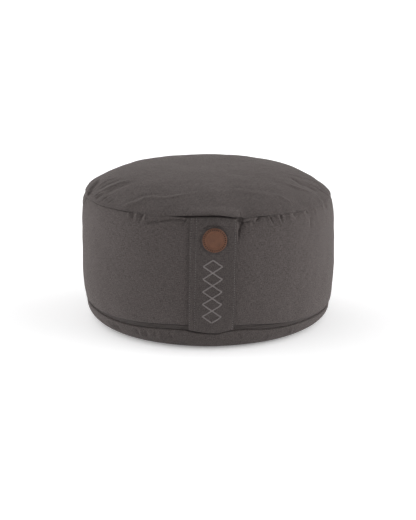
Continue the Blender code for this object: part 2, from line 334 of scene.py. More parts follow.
class Bench:
    """Where pieces are started, shaped and finished with Blender's own tools."""

    @staticmethod
    def take(name: str) -> bpy.types.Object:
        """Name the primitive that was just added and give it its own mesh name.

        Args:
            name: Its new name.

        Returns:
            The object.
        """
        piece = bpy.context.active_object
        piece.name = piece.data.name = name
        return piece

    @staticmethod
    def select(*pieces: bpy.types.Object) -> None:
        """Select these objects and nothing else, the last one active."""
        bpy.ops.object.select_all(action="DESELECT")
        for piece in pieces:
            piece.select_set(True)
            bpy.context.view_layer.objects.active = piece

    @classmethod
    def grid(cls, name: str, columns: int, rows: int) -> bpy.types.Object:
        """A flat sheet of quads two units wide, to be laid out by its columns and rows.

        Args:
            name: Name of the new piece.
            columns: Faces along x.
            rows: Faces along y.

        Returns:
            The new object, with a UV map named weave.
        """
        bpy.ops.object.select_all(action="DESELECT")
        bpy.ops.mesh.primitive_grid_add(x_subdivisions=columns, y_subdivisions=rows, size=2.0)
        piece = cls.take(name)
        piece.data.uv_layers[0].name = "weave"
        return piece

    @classmethod
    def apply(cls, piece: bpy.types.Object, kind: str, **settings: Any) -> None:
        """Add a modifier and apply it.

        Args:
            piece: Object to change.
            kind: Blender's name of the modifier's type.
            **settings: Its settings.
        """
        cls.select(piece)
        modifier = piece.modifiers.new(kind.title(), kind)
        for name, value in settings.items():
            setattr(modifier, name, value)
        bpy.ops.object.modifier_apply(modifier=modifier.name)

    @classmethod
    def smooth_out(cls, piece: bpy.types.Object, levels: int = 1) -> None:
        """Subdivide a piece into a smooth surface."""
        cls.apply(piece, "SUBSURF", levels=levels, render_levels=levels)

    @classmethod
    def close(cls, piece: bpy.types.Object, distance: float = 1e-7) -> None:
        """Merge doubles and point all faces outwards.

        Args:
            piece: Object to close.
            distance: Vertices nearer than this become one.
        """
        cls.select(piece)
        bpy.ops.object.mode_set(mode="EDIT")
        bpy.ops.mesh.select_all(action="SELECT")
        bpy.ops.mesh.remove_doubles(threshold=distance)
        bpy.ops.mesh.normals_make_consistent(inside=False)
        bpy.ops.object.mode_set(mode="OBJECT")

    @classmethod
    def shade(cls, piece: bpy.types.Object, shading: Shading = Shading.SMOOTH) -> None:
        """Shade a piece smooth, all over or up to an angle.

        Args:
            piece: Object to shade.
            shading: Which of the two.
        """
        cls.select(piece)
        if shading is Shading.SMOOTH:
            bpy.ops.object.shade_smooth()
        else:
            bpy.ops.object.shade_smooth_by_angle(angle=math.radians(40))

    @classmethod
    def join(cls, pieces: list[bpy.types.Object], name: str) -> bpy.types.Object:
        """Join pieces into the first of them.

        Args:
            pieces: Objects to join.
            name: Name of the result.

        Returns:
            The joined object.
        """
        cls.select(*pieces[1:], pieces[0])
        bpy.ops.object.join()
        return cls.take(name)

    @classmethod
    def copies(
        cls, model: bpy.types.Object, places: list[Matrix], name: str
    ) -> bpy.types.Object:
        """Copy a small part to many places as one piece, and remove the model.

        Args:
            model: Part to copy, at the origin.
            places: Where each copy goes.
            name: Name of the joined piece.

        Returns:
            The joined object.
        """
        made = []
        for place in places:
            copy = model.copy()
            copy.data = model.data.copy()
            copy.data.transform(place)
            bpy.context.scene.collection.objects.link(copy)
            made.append(copy)
        bpy.data.objects.remove(model)
        return cls.join(made, name)

    @staticmethod
    def read(rows: Any, column: str, width: int, kind: type = np.float32) -> Array:
        """One column of a mesh's rows, as an array of that width.

        Args:
            rows: Vertices, loops or other rows of a mesh.
            column: Blender's name of the column.
            width: Numbers in each row.
            kind: Their type.

        Returns:
            An array of rows by width.
        """
        held = np.empty(len(rows) * width, kind)
        rows.foreach_get(column, held)
        return held.reshape(-1, width)

    @classmethod
    def points(cls, piece: bpy.types.Object) -> Array:
        """The piece's vertices as an array."""
        return cls.read(piece.data.vertices, "co", 3).astype(float)

    @classmethod
    def normals(cls, piece: bpy.types.Object) -> Array:
        """The piece's vertex normals as an array."""
        return cls.read(piece.data.vertex_normals, "vector", 3).astype(float)

    @staticmethod
    def move(piece: bpy.types.Object, points: Array) -> None:
        """Put the piece's vertices at these points."""
        piece.data.vertices.foreach_set("co", points.astype(np.float32).ravel())
        piece.data.update()

    @staticmethod
    def note(piece: bpy.types.Object, name: str, values: Array) -> None:
        """Keep a number for each vertex, which later subdivision carries on."""
        held = piece.data.attributes.new(name, "FLOAT", "POINT")
        held.data.foreach_set("value", values.astype(np.float32))

    @classmethod
    def noted(cls, piece: bpy.types.Object, name: str) -> Array:
        """Read back a number kept for each vertex."""
        return cls.read(piece.data.attributes[name].data, "value", 1).ravel().astype(float)

    @staticmethod
    def set_uv(piece: bpy.types.Object, places: Array) -> None:
        """Write the weave map, one place for each corner of each face."""
        piece.data.uv_layers["weave"].data.foreach_set("uv", places.astype(np.float32).ravel())

    @classmethod
    def corner_vertices(cls, piece: bpy.types.Object) -> Array:
        """The vertex of each corner of each face."""
        return cls.read(piece.data.loops, "vertex_index", 1, np.int32).ravel()

    @staticmethod
    def hand_over(
        piece: bpy.types.Object, nodes: Sequence[str], slot: str, material: bpy.types.Material
    ) -> None:
        """Give a piece its finish and its place in the frame, and report it.

        Args:
            piece: Finished object.
            nodes: CAD nodes that it stands for.
            slot: Record's material slot; not used.
            material: Its finish.
        """
        piece.data.materials.clear()
        piece.data.materials.append(material)
        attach(piece, "root")
        if nodes:
            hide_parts(*nodes)
        faces = len(piece.data.polygons)
        log.info("%s: %d vertices, %d faces", piece.name, len(piece.data.vertices), faces)


# Materials.

class Signal:
    """One output of a node, on which sums are written as Python expressions."""

    def __init__(self, graph: "Graph", socket: bpy.types.NodeSocket) -> None:
        """Wrap a node's output socket."""
        self.graph = graph
        self.socket = socket

    def work(self, operation: str, first: Any, second: Any = 0.0) -> "Signal":
        """Add a Math node.

        Args:
            operation: Its operation.
            first: Value or signal of its first socket.
            second: Value or signal of its second socket.

        Returns:
            The node's result.
        """
        return self.graph.add("Math", {"operation": operation}, {0: first, 1: second})

    def __add__(self, other: Any) -> "Signal":
        """Sum."""
        return self.work("ADD", self, other)

    def __radd__(self, other: Any) -> "Signal":
        """Sum."""
        return self.work("ADD", other, self)

    def __sub__(self, other: Any) -> "Signal":
        """Difference."""
        return self.work("SUBTRACT", self, other)

    def __rsub__(self, other: Any) -> "Signal":
        """Difference from a number."""
        return self.work("SUBTRACT", other, self)

    def __mul__(self, other: Any) -> "Signal":
        """Product."""
        return self.work("MULTIPLY", self, other)

    def __rmul__(self, other: Any) -> "Signal":
        """Product."""
        return self.work("MULTIPLY", other, self)

    def __pow__(self, other: Any) -> "Signal":
        """Power."""
        return self.work("POWER", self, other)

    def sine(self) -> "Signal":
        """Sine of this signal."""
        return self.work("SINE", self)

    def between(self, low: float, high: float) -> "Signal":
        """Smooth step from 0 at low to 1 at high."""
        settings = {"interpolation_type": "SMOOTHSTEP"}
        return self.graph.add("MapRange", settings, {"Value": self, 1: low, 2: high})


class Graph:
    """Node tree of a material or world, with one method that adds any other node."""

    def __init__(self, owner: Any) -> None:
        """Take up the node tree of a world, or of a new material given by its name.

        Args:
            owner: The world, or the material's name.
        """
        if isinstance(owner, str):
            owner = bpy.data.materials.new(owner)
            owner.use_nodes = True
        self.owner = owner
        self.nodes, self.links = owner.node_tree.nodes, owner.node_tree.links

    def add(
        self,
        kind: str,
        settings: dict[str, Any] | None = None,
        inputs: dict[Any, Any] | None = None,
        output: int | str = 0,
    ) -> Signal:
        """Add a node, set it and join it up.

        Args:
            kind: Node type without its ShaderNode prefix.
            settings: Properties, which are set first.
            inputs: Values or signals by socket name or index.
            output: Socket to hand back, by name or index.

        Returns:
            The chosen output.
        """
        node = self.nodes.new("ShaderNode" + kind)
        for name, value in (settings or {}).items():
            setattr(node, name, value)
        for key, value in (inputs or {}).items():
            self.feed(node.inputs[key], value)
        return Signal(self, node.outputs[output])

    def feed(self, socket: bpy.types.NodeSocket, value: Any) -> None:
        """Link a signal to a socket, or set the socket's own value.

        Args:
            socket: Input of a node.
            value: Signal, number, colour or vector.
        """
        if isinstance(value, Signal):
            self.links.new(value.socket, socket)
        else:
            socket.default_value = value

    def axis(self, place: Signal, name: str) -> Signal:
        """One coordinate of a place."""
        return self.add("SeparateXYZ", inputs={0: place}, output=name)

    def on_object(self) -> Signal:
        """Place in metres, as the piece stands."""
        return self.add("TexCoord", output="Object")

    def on_weave(self) -> Signal:
        """Place on the piece's weave map, which is in metres."""
        return self.add("UVMap", {"uv_map": "weave"})

    def noise(self, place: Signal, scale: float, detail: float = 2.0) -> Signal:
        """Cloudy noise about 0.5 at a scale in cells per metre."""
        inputs = {"Vector": place, "Scale": scale, "Detail": detail}
        return self.add("TexNoise", inputs=inputs)

    def stretched(self, place: Signal, scale: tuple[float, float, float]) -> Signal:
        """Place scaled by a different number along each axis."""
        return self.add("Mapping", {"vector_type": "POINT"}, {"Vector": place, "Scale": scale})

    def toned(self, colour: tuple[float, float, float], tone: Signal) -> Signal:
        """A colour made lighter or darker by a signal about 1."""
        inputs = {0: colour, "Scale": tone}
        return self.add("VectorMath", {"operation": "SCALE"}, inputs)

    def mixed(self, share: Signal, first: Any, second: Any) -> Signal:
        """Mix of two colours."""
        inputs = {0: share, 6: first, 7: second}
        return self.add("Mix", {"data_type": "RGBA"}, inputs, 2)

    def bumped(self, height: Signal, distance: float, strength: float = 1.0) -> Signal:
        """Surface normal with a relief of that height in metres."""
        inputs = {"Height": height, "Distance": distance, "Strength": strength}
        return self.add("Bump", inputs=inputs)

    def finish(self, **values: Any) -> bpy.types.Material:
        """Set or link the shader's sockets.

        Args:
            **values: Values or signals, by socket name with _ for a space.

        Returns:
            The material.
        """
        for name, value in values.items():
            self.feed(self.nodes["Principled BSDF"].inputs[name.replace("_", " ")], value)
        return self.owner


Colour = tuple[float, float, float]


@dataclass(frozen=True)
class TwillFinish:
    """Brushed cotton twill, read from the piece's weave map, which is in metres."""

    name: str
    colour: Colour
    rib_pitch: float = 0.00085      # from one diagonal rib to the next
    relief: float = 0.00013         # height of the weave
    slub: float = 0.56              # unevenness of the yarn's colour
    mottle: float = 0.045           # broad unevenness of the dye
    crown_brush: float = 1.2        # long slubs that show more on the top panel
    crown_band: tuple[float, float] = (0.157, 0.175)   # heights in which they come in
    painted_floor_shade: float = 0.84         # painted shade: tone of the cloth near the floor, against the rest
    painted_floor_shade_band: tuple[float, float] = (0.004, 0.021)    # heights in which that painted shade ends
    sheen: float = 0.09
    roughness: float = 0.92

    def material(self) -> bpy.types.Material:
        """Build the cloth's material.

        Returns:
            The material.
        """
        graph = Graph(self.name)
        place = graph.on_weave()
        across, along = graph.axis(place, "X"), graph.axis(place, "Y")
        turn = 2 * math.pi / self.rib_pitch
        rib = ((across + along) * turn).sine()
        pick = ((across - along) * (turn * 1.5)).sine()
        warp = graph.noise(graph.stretched(place, (1300.0, 220.0, 1.0)), 1.0, 2.0)
        weft = graph.noise(graph.stretched(place, (200.0, 1200.0, 1.0)), 1.0, 2.0)
        fuzz = graph.noise(place, 1050.0, 2.0)
        slub = graph.noise(graph.stretched(place, (1100.0, 250.0, 1.0)), 1.0, 1.0)
        broad = graph.noise(place, 16.0, 3.0)
        level = graph.axis(graph.on_object(), "Z")
        on_crown = level.between(*self.crown_band) * self.crown_brush
        yarn = (warp - 0.5) * 0.9 + (weft - 0.5) * 0.9 + (fuzz - 0.5) * 2.1
        yarn = yarn + (slub - 0.5) * on_crown
        tone = 1.0 + yarn * (self.slub * 2) + (broad - 0.5) * (self.mottle * 2) + rib * 0.05
        # painted shade: the cloth is made darker towards the floor, where little light reaches it
        tone = tone * (self.painted_floor_shade + level.between(*self.painted_floor_shade_band) * (1.0 - self.painted_floor_shade))
        crumple = graph.noise(place, 90.0, 3.0)
        height = rib * 0.35 + pick * 0.2 + fuzz * 1.1 + warp * 0.4 + weft * 0.4 + crumple * 4.0
        return graph.finish(
            Base_Color=graph.toned(self.colour, tone),
            Roughness=self.roughness,
            Sheen_Weight=self.sheen,
            Sheen_Roughness=0.5,
            Sheen_Tint=(1.0, 0.89, 0.86, 1.0),
            Specular_IOR_Level=0.18,
            Normal=graph.bumped(height, self.relief),
        )


@dataclass(frozen=True)
class TapeFinish:
    """Woven polyester zip tape with a fine herringbone, read from the weave map."""

    name: str = "zip_tape"
    colour: Colour = (0.0440, 0.0375, 0.0363)
    bone_pitch: float = 0.0006      # from one slanted rib to the next
    bone_width: float = 0.0020      # of one row of them

    def material(self) -> bpy.types.Material:
        """Build the tape's material.

        Returns:
            The material.
        """
        graph = Graph(self.name)
        place = graph.on_weave()
        across, along = graph.axis(place, "Y"), graph.axis(place, "X")
        fold = across.work("PINGPONG", across, self.bone_width)
        bone = ((along + fold) * (2 * math.pi / self.bone_pitch)).sine()
        fuzz = graph.noise(place, 900.0)
        tone = 1.0 + bone * 0.12 + (fuzz - 0.5) * 0.4
        return graph.finish(
            Base_Color=graph.toned(self.colour, tone),
            Roughness=0.82,
            Sheen_Weight=0.15,
            Normal=graph.bumped(bone + fuzz, 0.00012),
        )


@dataclass(frozen=True)
class CoilFinish:
    """Satin nylon of the zip's coil."""

    name: str = "zip_coil"
    colour: Colour = (0.0660, 0.0530, 0.0495)

    def material(self) -> bpy.types.Material:
        """Build the coil's material.

        Returns:
            The material.
        """
        graph = Graph(self.name)
        place = graph.on_object()
        wear = graph.noise(place, 420.0)
        tone = 1.0 + (wear - 0.5) * 0.35
        return graph.finish(
            Base_Color=graph.toned(self.colour, tone),
            Roughness=0.38 + wear * 0.2,
            Normal=graph.bumped(wear, 0.00006),
        )


@dataclass(frozen=True)
class ThreadFinish:
    """Twisted sewing thread."""

    name: str
    colour: Colour
    sheen: float = 0.3
    roughness: float = 0.6

    def material(self) -> bpy.types.Material:
        """Build the thread's material.

        Returns:
            The material.
        """
        graph = Graph(self.name)
        place = graph.on_object()
        fibre = graph.noise(place, 2600.0, 3.0)
        patchy = graph.noise(place, 300.0)
        tone = 1.0 + (fibre - 0.5) * 0.5 + (patchy - 0.5) * 0.3
        return graph.finish(
            Base_Color=graph.toned(self.colour, tone),
            Roughness=self.roughness,
            Sheen_Weight=self.sheen,
            Normal=graph.bumped(fibre, 0.00006),
        )


@dataclass(frozen=True)
class LeatherFinish:
    """Waxed brown leather, darker at the very edge of its rim."""

    centre: tuple[float, float, float]
    radius: float
    name: str = "leather"
    colour: Colour = (0.1150, 0.0470, 0.0245)
    rim_colour: Colour = (0.0600, 0.0240, 0.0130)

    def material(self) -> bpy.types.Material:
        """Build the leather's material.

        Returns:
            The material.
        """
        graph = Graph(self.name)
        place = graph.on_object()
        moved = {"Vector": place, "Location": tuple(-c for c in self.centre)}
        local = graph.add("Mapping", {"vector_type": "POINT"}, moved)
        reach = graph.add("VectorMath", {"operation": "LENGTH"}, {0: local}, "Value")
        pores = graph.add("TexVoronoi", {"feature": "F1"}, {"Vector": place, "Scale": 1500.0})
        cells = graph.add(
            "TexVoronoi", {"feature": "DISTANCE_TO_EDGE"}, {"Vector": place, "Scale": 900.0}
        )
        cloud = graph.noise(place, 190.0, 4.0)
        fine = graph.noise(place, 1500.0, 3.0)
        rim = (reach + (cloud - 0.5) * 0.0010).between(self.radius * 0.97, self.radius * 1.06)
        tone = 1.0 + (cloud - 0.5) * 0.85 + (fine - 0.5) * 0.35 + (pores - 0.4) * 0.25
        plain = graph.toned(self.colour, tone)
        grain = cells.between(0.0, 0.12) * 0.8 + fine * 0.8 + cloud * 1.2
        return graph.finish(
            Base_Color=graph.mixed(rim, plain, (*self.rim_colour, 1.0)),
            Roughness=0.50 + cloud * 0.2,
            Specular_IOR_Level=0.35,
            Normal=graph.bumped(grain, 0.00012),
        )


CANVAS = TwillFinish("canvas", (0.0733, 0.0623, 0.0599))
STRAP_CANVAS = TwillFinish("strap_canvas", (0.0650, 0.0555, 0.0533), mottle=0.03)
STRAP_THREAD = ThreadFinish("strap_thread", (0.1010, 0.0865, 0.0830), sheen=0.2)
PALE_THREAD = ThreadFinish("pale_thread", (0.1665, 0.1450, 0.1410), sheen=0.2)
RIM_THREAD = ThreadFinish("rim_thread", (0.006, 0.004, 0.003), sheen=0.0, roughness=0.9)


# Cushion body.

class Panel(Enum):
    """The cloth panel that a crease lies on."""

    TOP = "top"
    WALL = "wall"
    BASE = "base"


@dataclass(frozen=True)
class Crease:
    """A listed ridge or valley in the cloth."""

    panel: Panel
    width: float                              # half width of its bell, in mm
    height: float                             # in mm, negative for a valley
    points: tuple[tuple[float, float], ...]   # azimuth, and radius or height in mm
    lean: float                               # side of the dip beside it, -1 to 1
    start: float                              # share of its length in which it rises
    end: float                                # share in which it dies out


def creases(
    panel: Panel, rows: Sequence[tuple[Any, ...]], ends: tuple[float, float] = (0.3, 0.3)
) -> list[Crease]:
    """Creases of one panel.

    Args:
        panel: The panel.
        rows: Width, height and points, and then lean, start and end where they aren't plain.
        ends: Start and end of a plain crease, which doesn't lean.

    Returns:
        The creases.
    """
    return [Crease(panel, *row[:3], *(row[3:] or (0.0, *ends))) for row in rows]


CREASES = (
    *creases(Panel.TOP, (
        # Long soft ridge round the front of the crown.
        (2.8, 0.65, (
            (-43, 142), (-41.5, 140.5), (-40.4, 137.3), (-37, 132.8), (-34.3, 125.3), (-30.6, 122),
            (-24, 121.7), (-19.6, 118.6), (-14, 113), (-6.3, 106.5), (2.4, 104),
        ), 0.9, 0.15, 0.3),
        (3.6, 0.35, (
            (-4, 105.5), (6, 103), (20.8, 102), (24.8, 107), (34.2, 114), (39.3, 121.6), (45, 133),
        ), 0.8, 0.3, 0.3),
        # Left: a pinch along the edge, then a fan of ridges and valleys.
        (1.5, 2.4, (
            (-74.6, 144.6), (-75.6, 141.9), (-78.8, 139.1), (-80.2, 136), (-82.3, 132.9),
            (-84.5, 130.6), (-90, 129), (-97, 127),
        ), 1.0, 0.05, 0.3),
        (2.2, -1.3, (
            (-78, 142), (-80.8, 139.9), (-84, 137.9), (-88, 135), (-92, 131.5), (-98, 128),
        ), 0.0, 0.2, 0.4),
        (1.1, -1.0, ((-67.9, 143), (-67.3, 138.6), (-67.2, 135.5), (-66.4, 131)), 0.0, 0.2, 0.4),
        (1.1, 0.9, ((-66.1, 142.8), (-65.3, 139.7), (-65.2, 136.2), (-64.6, 131.8)), 0.0, 0.2, 0.4),
        (1.1, -1.0, ((-64.3, 143), (-63.7, 140), (-63.4, 136.7), (-62.5, 132.5)), 0.0, 0.2, 0.4),
        (1.3, -1.0, ((-59, 142.5), (-58.4, 140), (-58.1, 136.1), (-56.8, 131.5)), 0.0, 0.2, 0.4),
        (1.2, 0.6, ((-57, 141), (-56.4, 136), (-55.4, 132)), 0.0, 0.2, 0.4),
        (1.3, -0.8, ((-53.4, 142.2), (-52.4, 137.5), (-51.2, 133.6)), 0.0, 0.2, 0.5),
        (2.4, 1.1, (
            (-68.6, 136), (-67.1, 131.3), (-65.3, 125.1), (-63.5, 118), (-61.2, 110.9), (-60, 102),
        )),
        (2.6, -1.1, (
            (-72.6, 137), (-71.5, 131.6), (-70.7, 126.4), (-69.7, 121), (-67.5, 114.8), (-66, 105),
        )),
        (3.0, 0.9, (
            (-75.8, 134.5), (-76.5, 130.5), (-76.9, 125.5), (-76.8, 120), (-75, 114.6),
            (-74.6, 104),
        )),
        (5.2, -1.3, (
            (-62.8, 133), (-61.3, 129.5), (-60.3, 124.5), (-58.2, 117.8), (-55.6, 110.3),
            (-53, 101),
        )),
        # Edge of the top panel, rolled over its seam.
        (0.9, 0.6, (
            (-74, 144.7), (-66, 144.3), (-58, 143.8), (-50, 143.4), (-42, 143.0), (-37, 142.8),
        ), 0.0, 0.15, 0.2),
        # Right: a crisp crest, the valley below it, and softer ridges along the outline.
        (2.9, 0.9, (
            (79, 78), (81.4, 91), (83.6, 104), (87.3, 116), (91.5, 124), (92, 129.5), (89, 133.5),
            (85, 138), (84, 143),
        ), 0.6, 0.3, 0.15),
        (4.6, -1.5, ((75, 92), (73, 102), (69.8, 114), (73.2, 121.7), (73.7, 129), (72.5, 134.5))),
        (1.9, 1.0, (
            (80, 114), (78.6, 120.2), (81.2, 127.5), (80, 132.5), (79.6, 139), (82, 144.8),
        ), 0.5, 0.3, 0.1),
        (3.2, 0.8, ((58, 96), (60, 108), (61.5, 115.4), (64, 120.4), (66.3, 126.4), (68, 132.5))),
        (2.4, 0.6, ((40, 114), (42.7, 127.7), (45.1, 134.2)), 0.4, 0.3, 0.3),
        # Short puckers above the strap's corners.
        (1.1, -1.2, ((14.8, 138.5), (14.6, 141), (14.3, 143), (14.3, 148)), 0.0, 0.6, 0.05),
        (1.4, -0.6, ((-8, 137), (-9.5, 141), (-10.8, 145)), 0.0, 0.4, 0.2),
    )),
    *creases(Panel.WALL, (
        # Left: a fold down from the corner, and the bulge behind it.
        (1.9, 1.3, ((-77.8, 153), (-78.1, 149), (-77.9, 143), (-77.5, 134))),
        (2.2, -0.6, ((-83, 153), (-83.5, 148), (-83, 142), (-82, 134))),
        (5.0, 1.5, ((-114, 143), (-99, 142.5), (-88, 142), (-80, 141), (-74, 139)), 0.0, 0.3, 0.3),
        # Gathers of the wall left of the strap.
        (1.3, -1.0, ((-35.6, 152.5), (-35.3, 150), (-35.0, 146.5), (-34.9, 142))),
        (1.4, -1.5, ((-30.2, 152.6), (-30.4, 150.6), (-30.6, 147), (-31.2, 141))),
        (1.6, 1.0, ((-38, 153), (-37.4, 148), (-37.1, 144))),
        (1.5, 1.0, ((-33.3, 152.5), (-33.2, 148), (-33.2, 139))),
        (1.4, 1.1, ((-28.8, 153), (-28.6, 149), (-29.4, 143))),
        (1.2, -2.0, (
            (-29, 143), (-26.8, 144.3), (-23, 146.1), (-18.9, 148.2), (-15.7, 149.7),
            (-12.4, 150.6), (-10, 150.8),
        ), -0.7, 0.2, 0.1),
        (1.3, -2.0, ((-9.2, 151.5), (-9.7, 150), (-10.2, 148.2), (-11, 145))),
        # Pucker at the strap's right corner, and the gathers to its right.
        (1.6, -4.5, ((13.3, 152), (14.2, 148.6), (14.7, 147), (14.3, 145), (13.6, 142.6))),
        (1.1, -4.4, (
            (13.2, 151), (13.9, 147), (14.0, 142.4), (13.4, 136.6), (13.1, 130.6), (12.9, 122),
        )),
        (1.1, 2.6, (
            (14.9, 148.2), (16, 148.8), (18, 149.4), (20.2, 149.9), (21.5, 150.5), (22.4, 151.3),
        ), 0.0, 0.2, 0.1),
        (1.0, -2.2, ((15.2, 147.6), (16.2, 147.5), (18, 147.6), (20.2, 147.7)), 0.0, 0.3, 0.3),
        (1.5, 0.6, ((18.5, 149), (18.4, 146.5), (18.3, 142), (18.1, 136))),
        (1.4, -0.7, ((19.9, 148), (19.8, 145), (19.8, 139))),
        (1.5, -2.6, ((22.9, 153), (22.7, 150.4), (21.5, 147.8), (20.6, 144))),
        (1.3, 0.9, ((26.7, 151), (27.4, 149), (28.4, 145), (28.8, 141))),
        (1.0, -2.0, ((28.2, 151.5), (28.7, 148.5), (29.3, 144.6), (29.7, 141))),
        (1.8, 0.6, ((31.9, 152), (32.5, 148), (32.7, 144), (32.5, 139))),
        (1.3, -2.0, ((33.8, 151), (33.9, 148), (34.1, 144.5), (34.8, 139))),
        (2.2, 0.8, ((39, 151), (38.8, 147), (38.7, 144), (39.2, 138))),
        (2.0, -1.8, ((40.8, 151.6), (41.4, 148.5), (42.1, 145.4), (43.1, 140))),
        (2.0, 0.7, ((47.4, 150), (47.9, 146.5), (48.3, 143), (48.6, 138))),
        (1.4, -1.2, ((49.8, 150), (50.4, 147), (51, 144), (51.3, 141))),
        (1.8, -0.8, ((52.3, 141), (51.9, 138), (51.5, 134), (51, 127)), 0.0, 0.3, 0.3),
        (2.4, 0.6, ((57.1, 150), (57.2, 145), (57.1, 140), (56.6, 133))),
        (1.8, -0.6, ((71, 149), (69.8, 145), (68, 142), (67.3, 137))),
        (1.9, -0.6, ((67.6, 139), (66.2, 133), (65.5, 127), (65.3, 120)), 0.0, 0.3, 0.3),
        (2.0, 0.7, ((65.5, 149), (64.6, 143), (64.2, 136))),
    ), ends=(0.10, 0.60)),
    *creases(Panel.BASE, (
        # Fine wrinkles of the base panel.
        (1.2, -1.2, ((-54, 17), (-50.5, 15), (-49.6, 11), (-47.6, 7))),
        (1.2, 1.0, ((-51.8, 17.5), (-48.4, 14.6), (-47.9, 10.4), (-46, 7))),
        (1.2, -1.0, ((-46, 16.5), (-45, 12.5), (-43.6, 8))),
        (2.4, -1.0, ((-33.6, 18.5), (-33.4, 15), (-33, 10))),
        (1.9, 0.9, ((-31.9, 17.5), (-31.6, 13.4), (-31.2, 9))),
        (2.2, -0.9, ((-28.6, 19), (-28.8, 14.5), (-28.4, 9))),
        (2.2, -0.8, ((-24.3, 20), (-24.2, 16), (-25, 11))),
        (2.4, 1.0, ((-20.8, 20), (-22, 14.5), (-23.3, 10))),
        (2.6, -0.9, ((-16.2, 21.5), (-16.5, 17), (-16, 11))),
        (1.6, 2.2, ((12, 21), (12.5, 16), (14, 10)), 1.0, 0.3, 0.3),
        (2.6, -0.7, ((27, 16), (27, 12), (26, 8))),
        (2.2, 1.3, ((41, 15), (41, 11), (40, 8))),
    )),
)


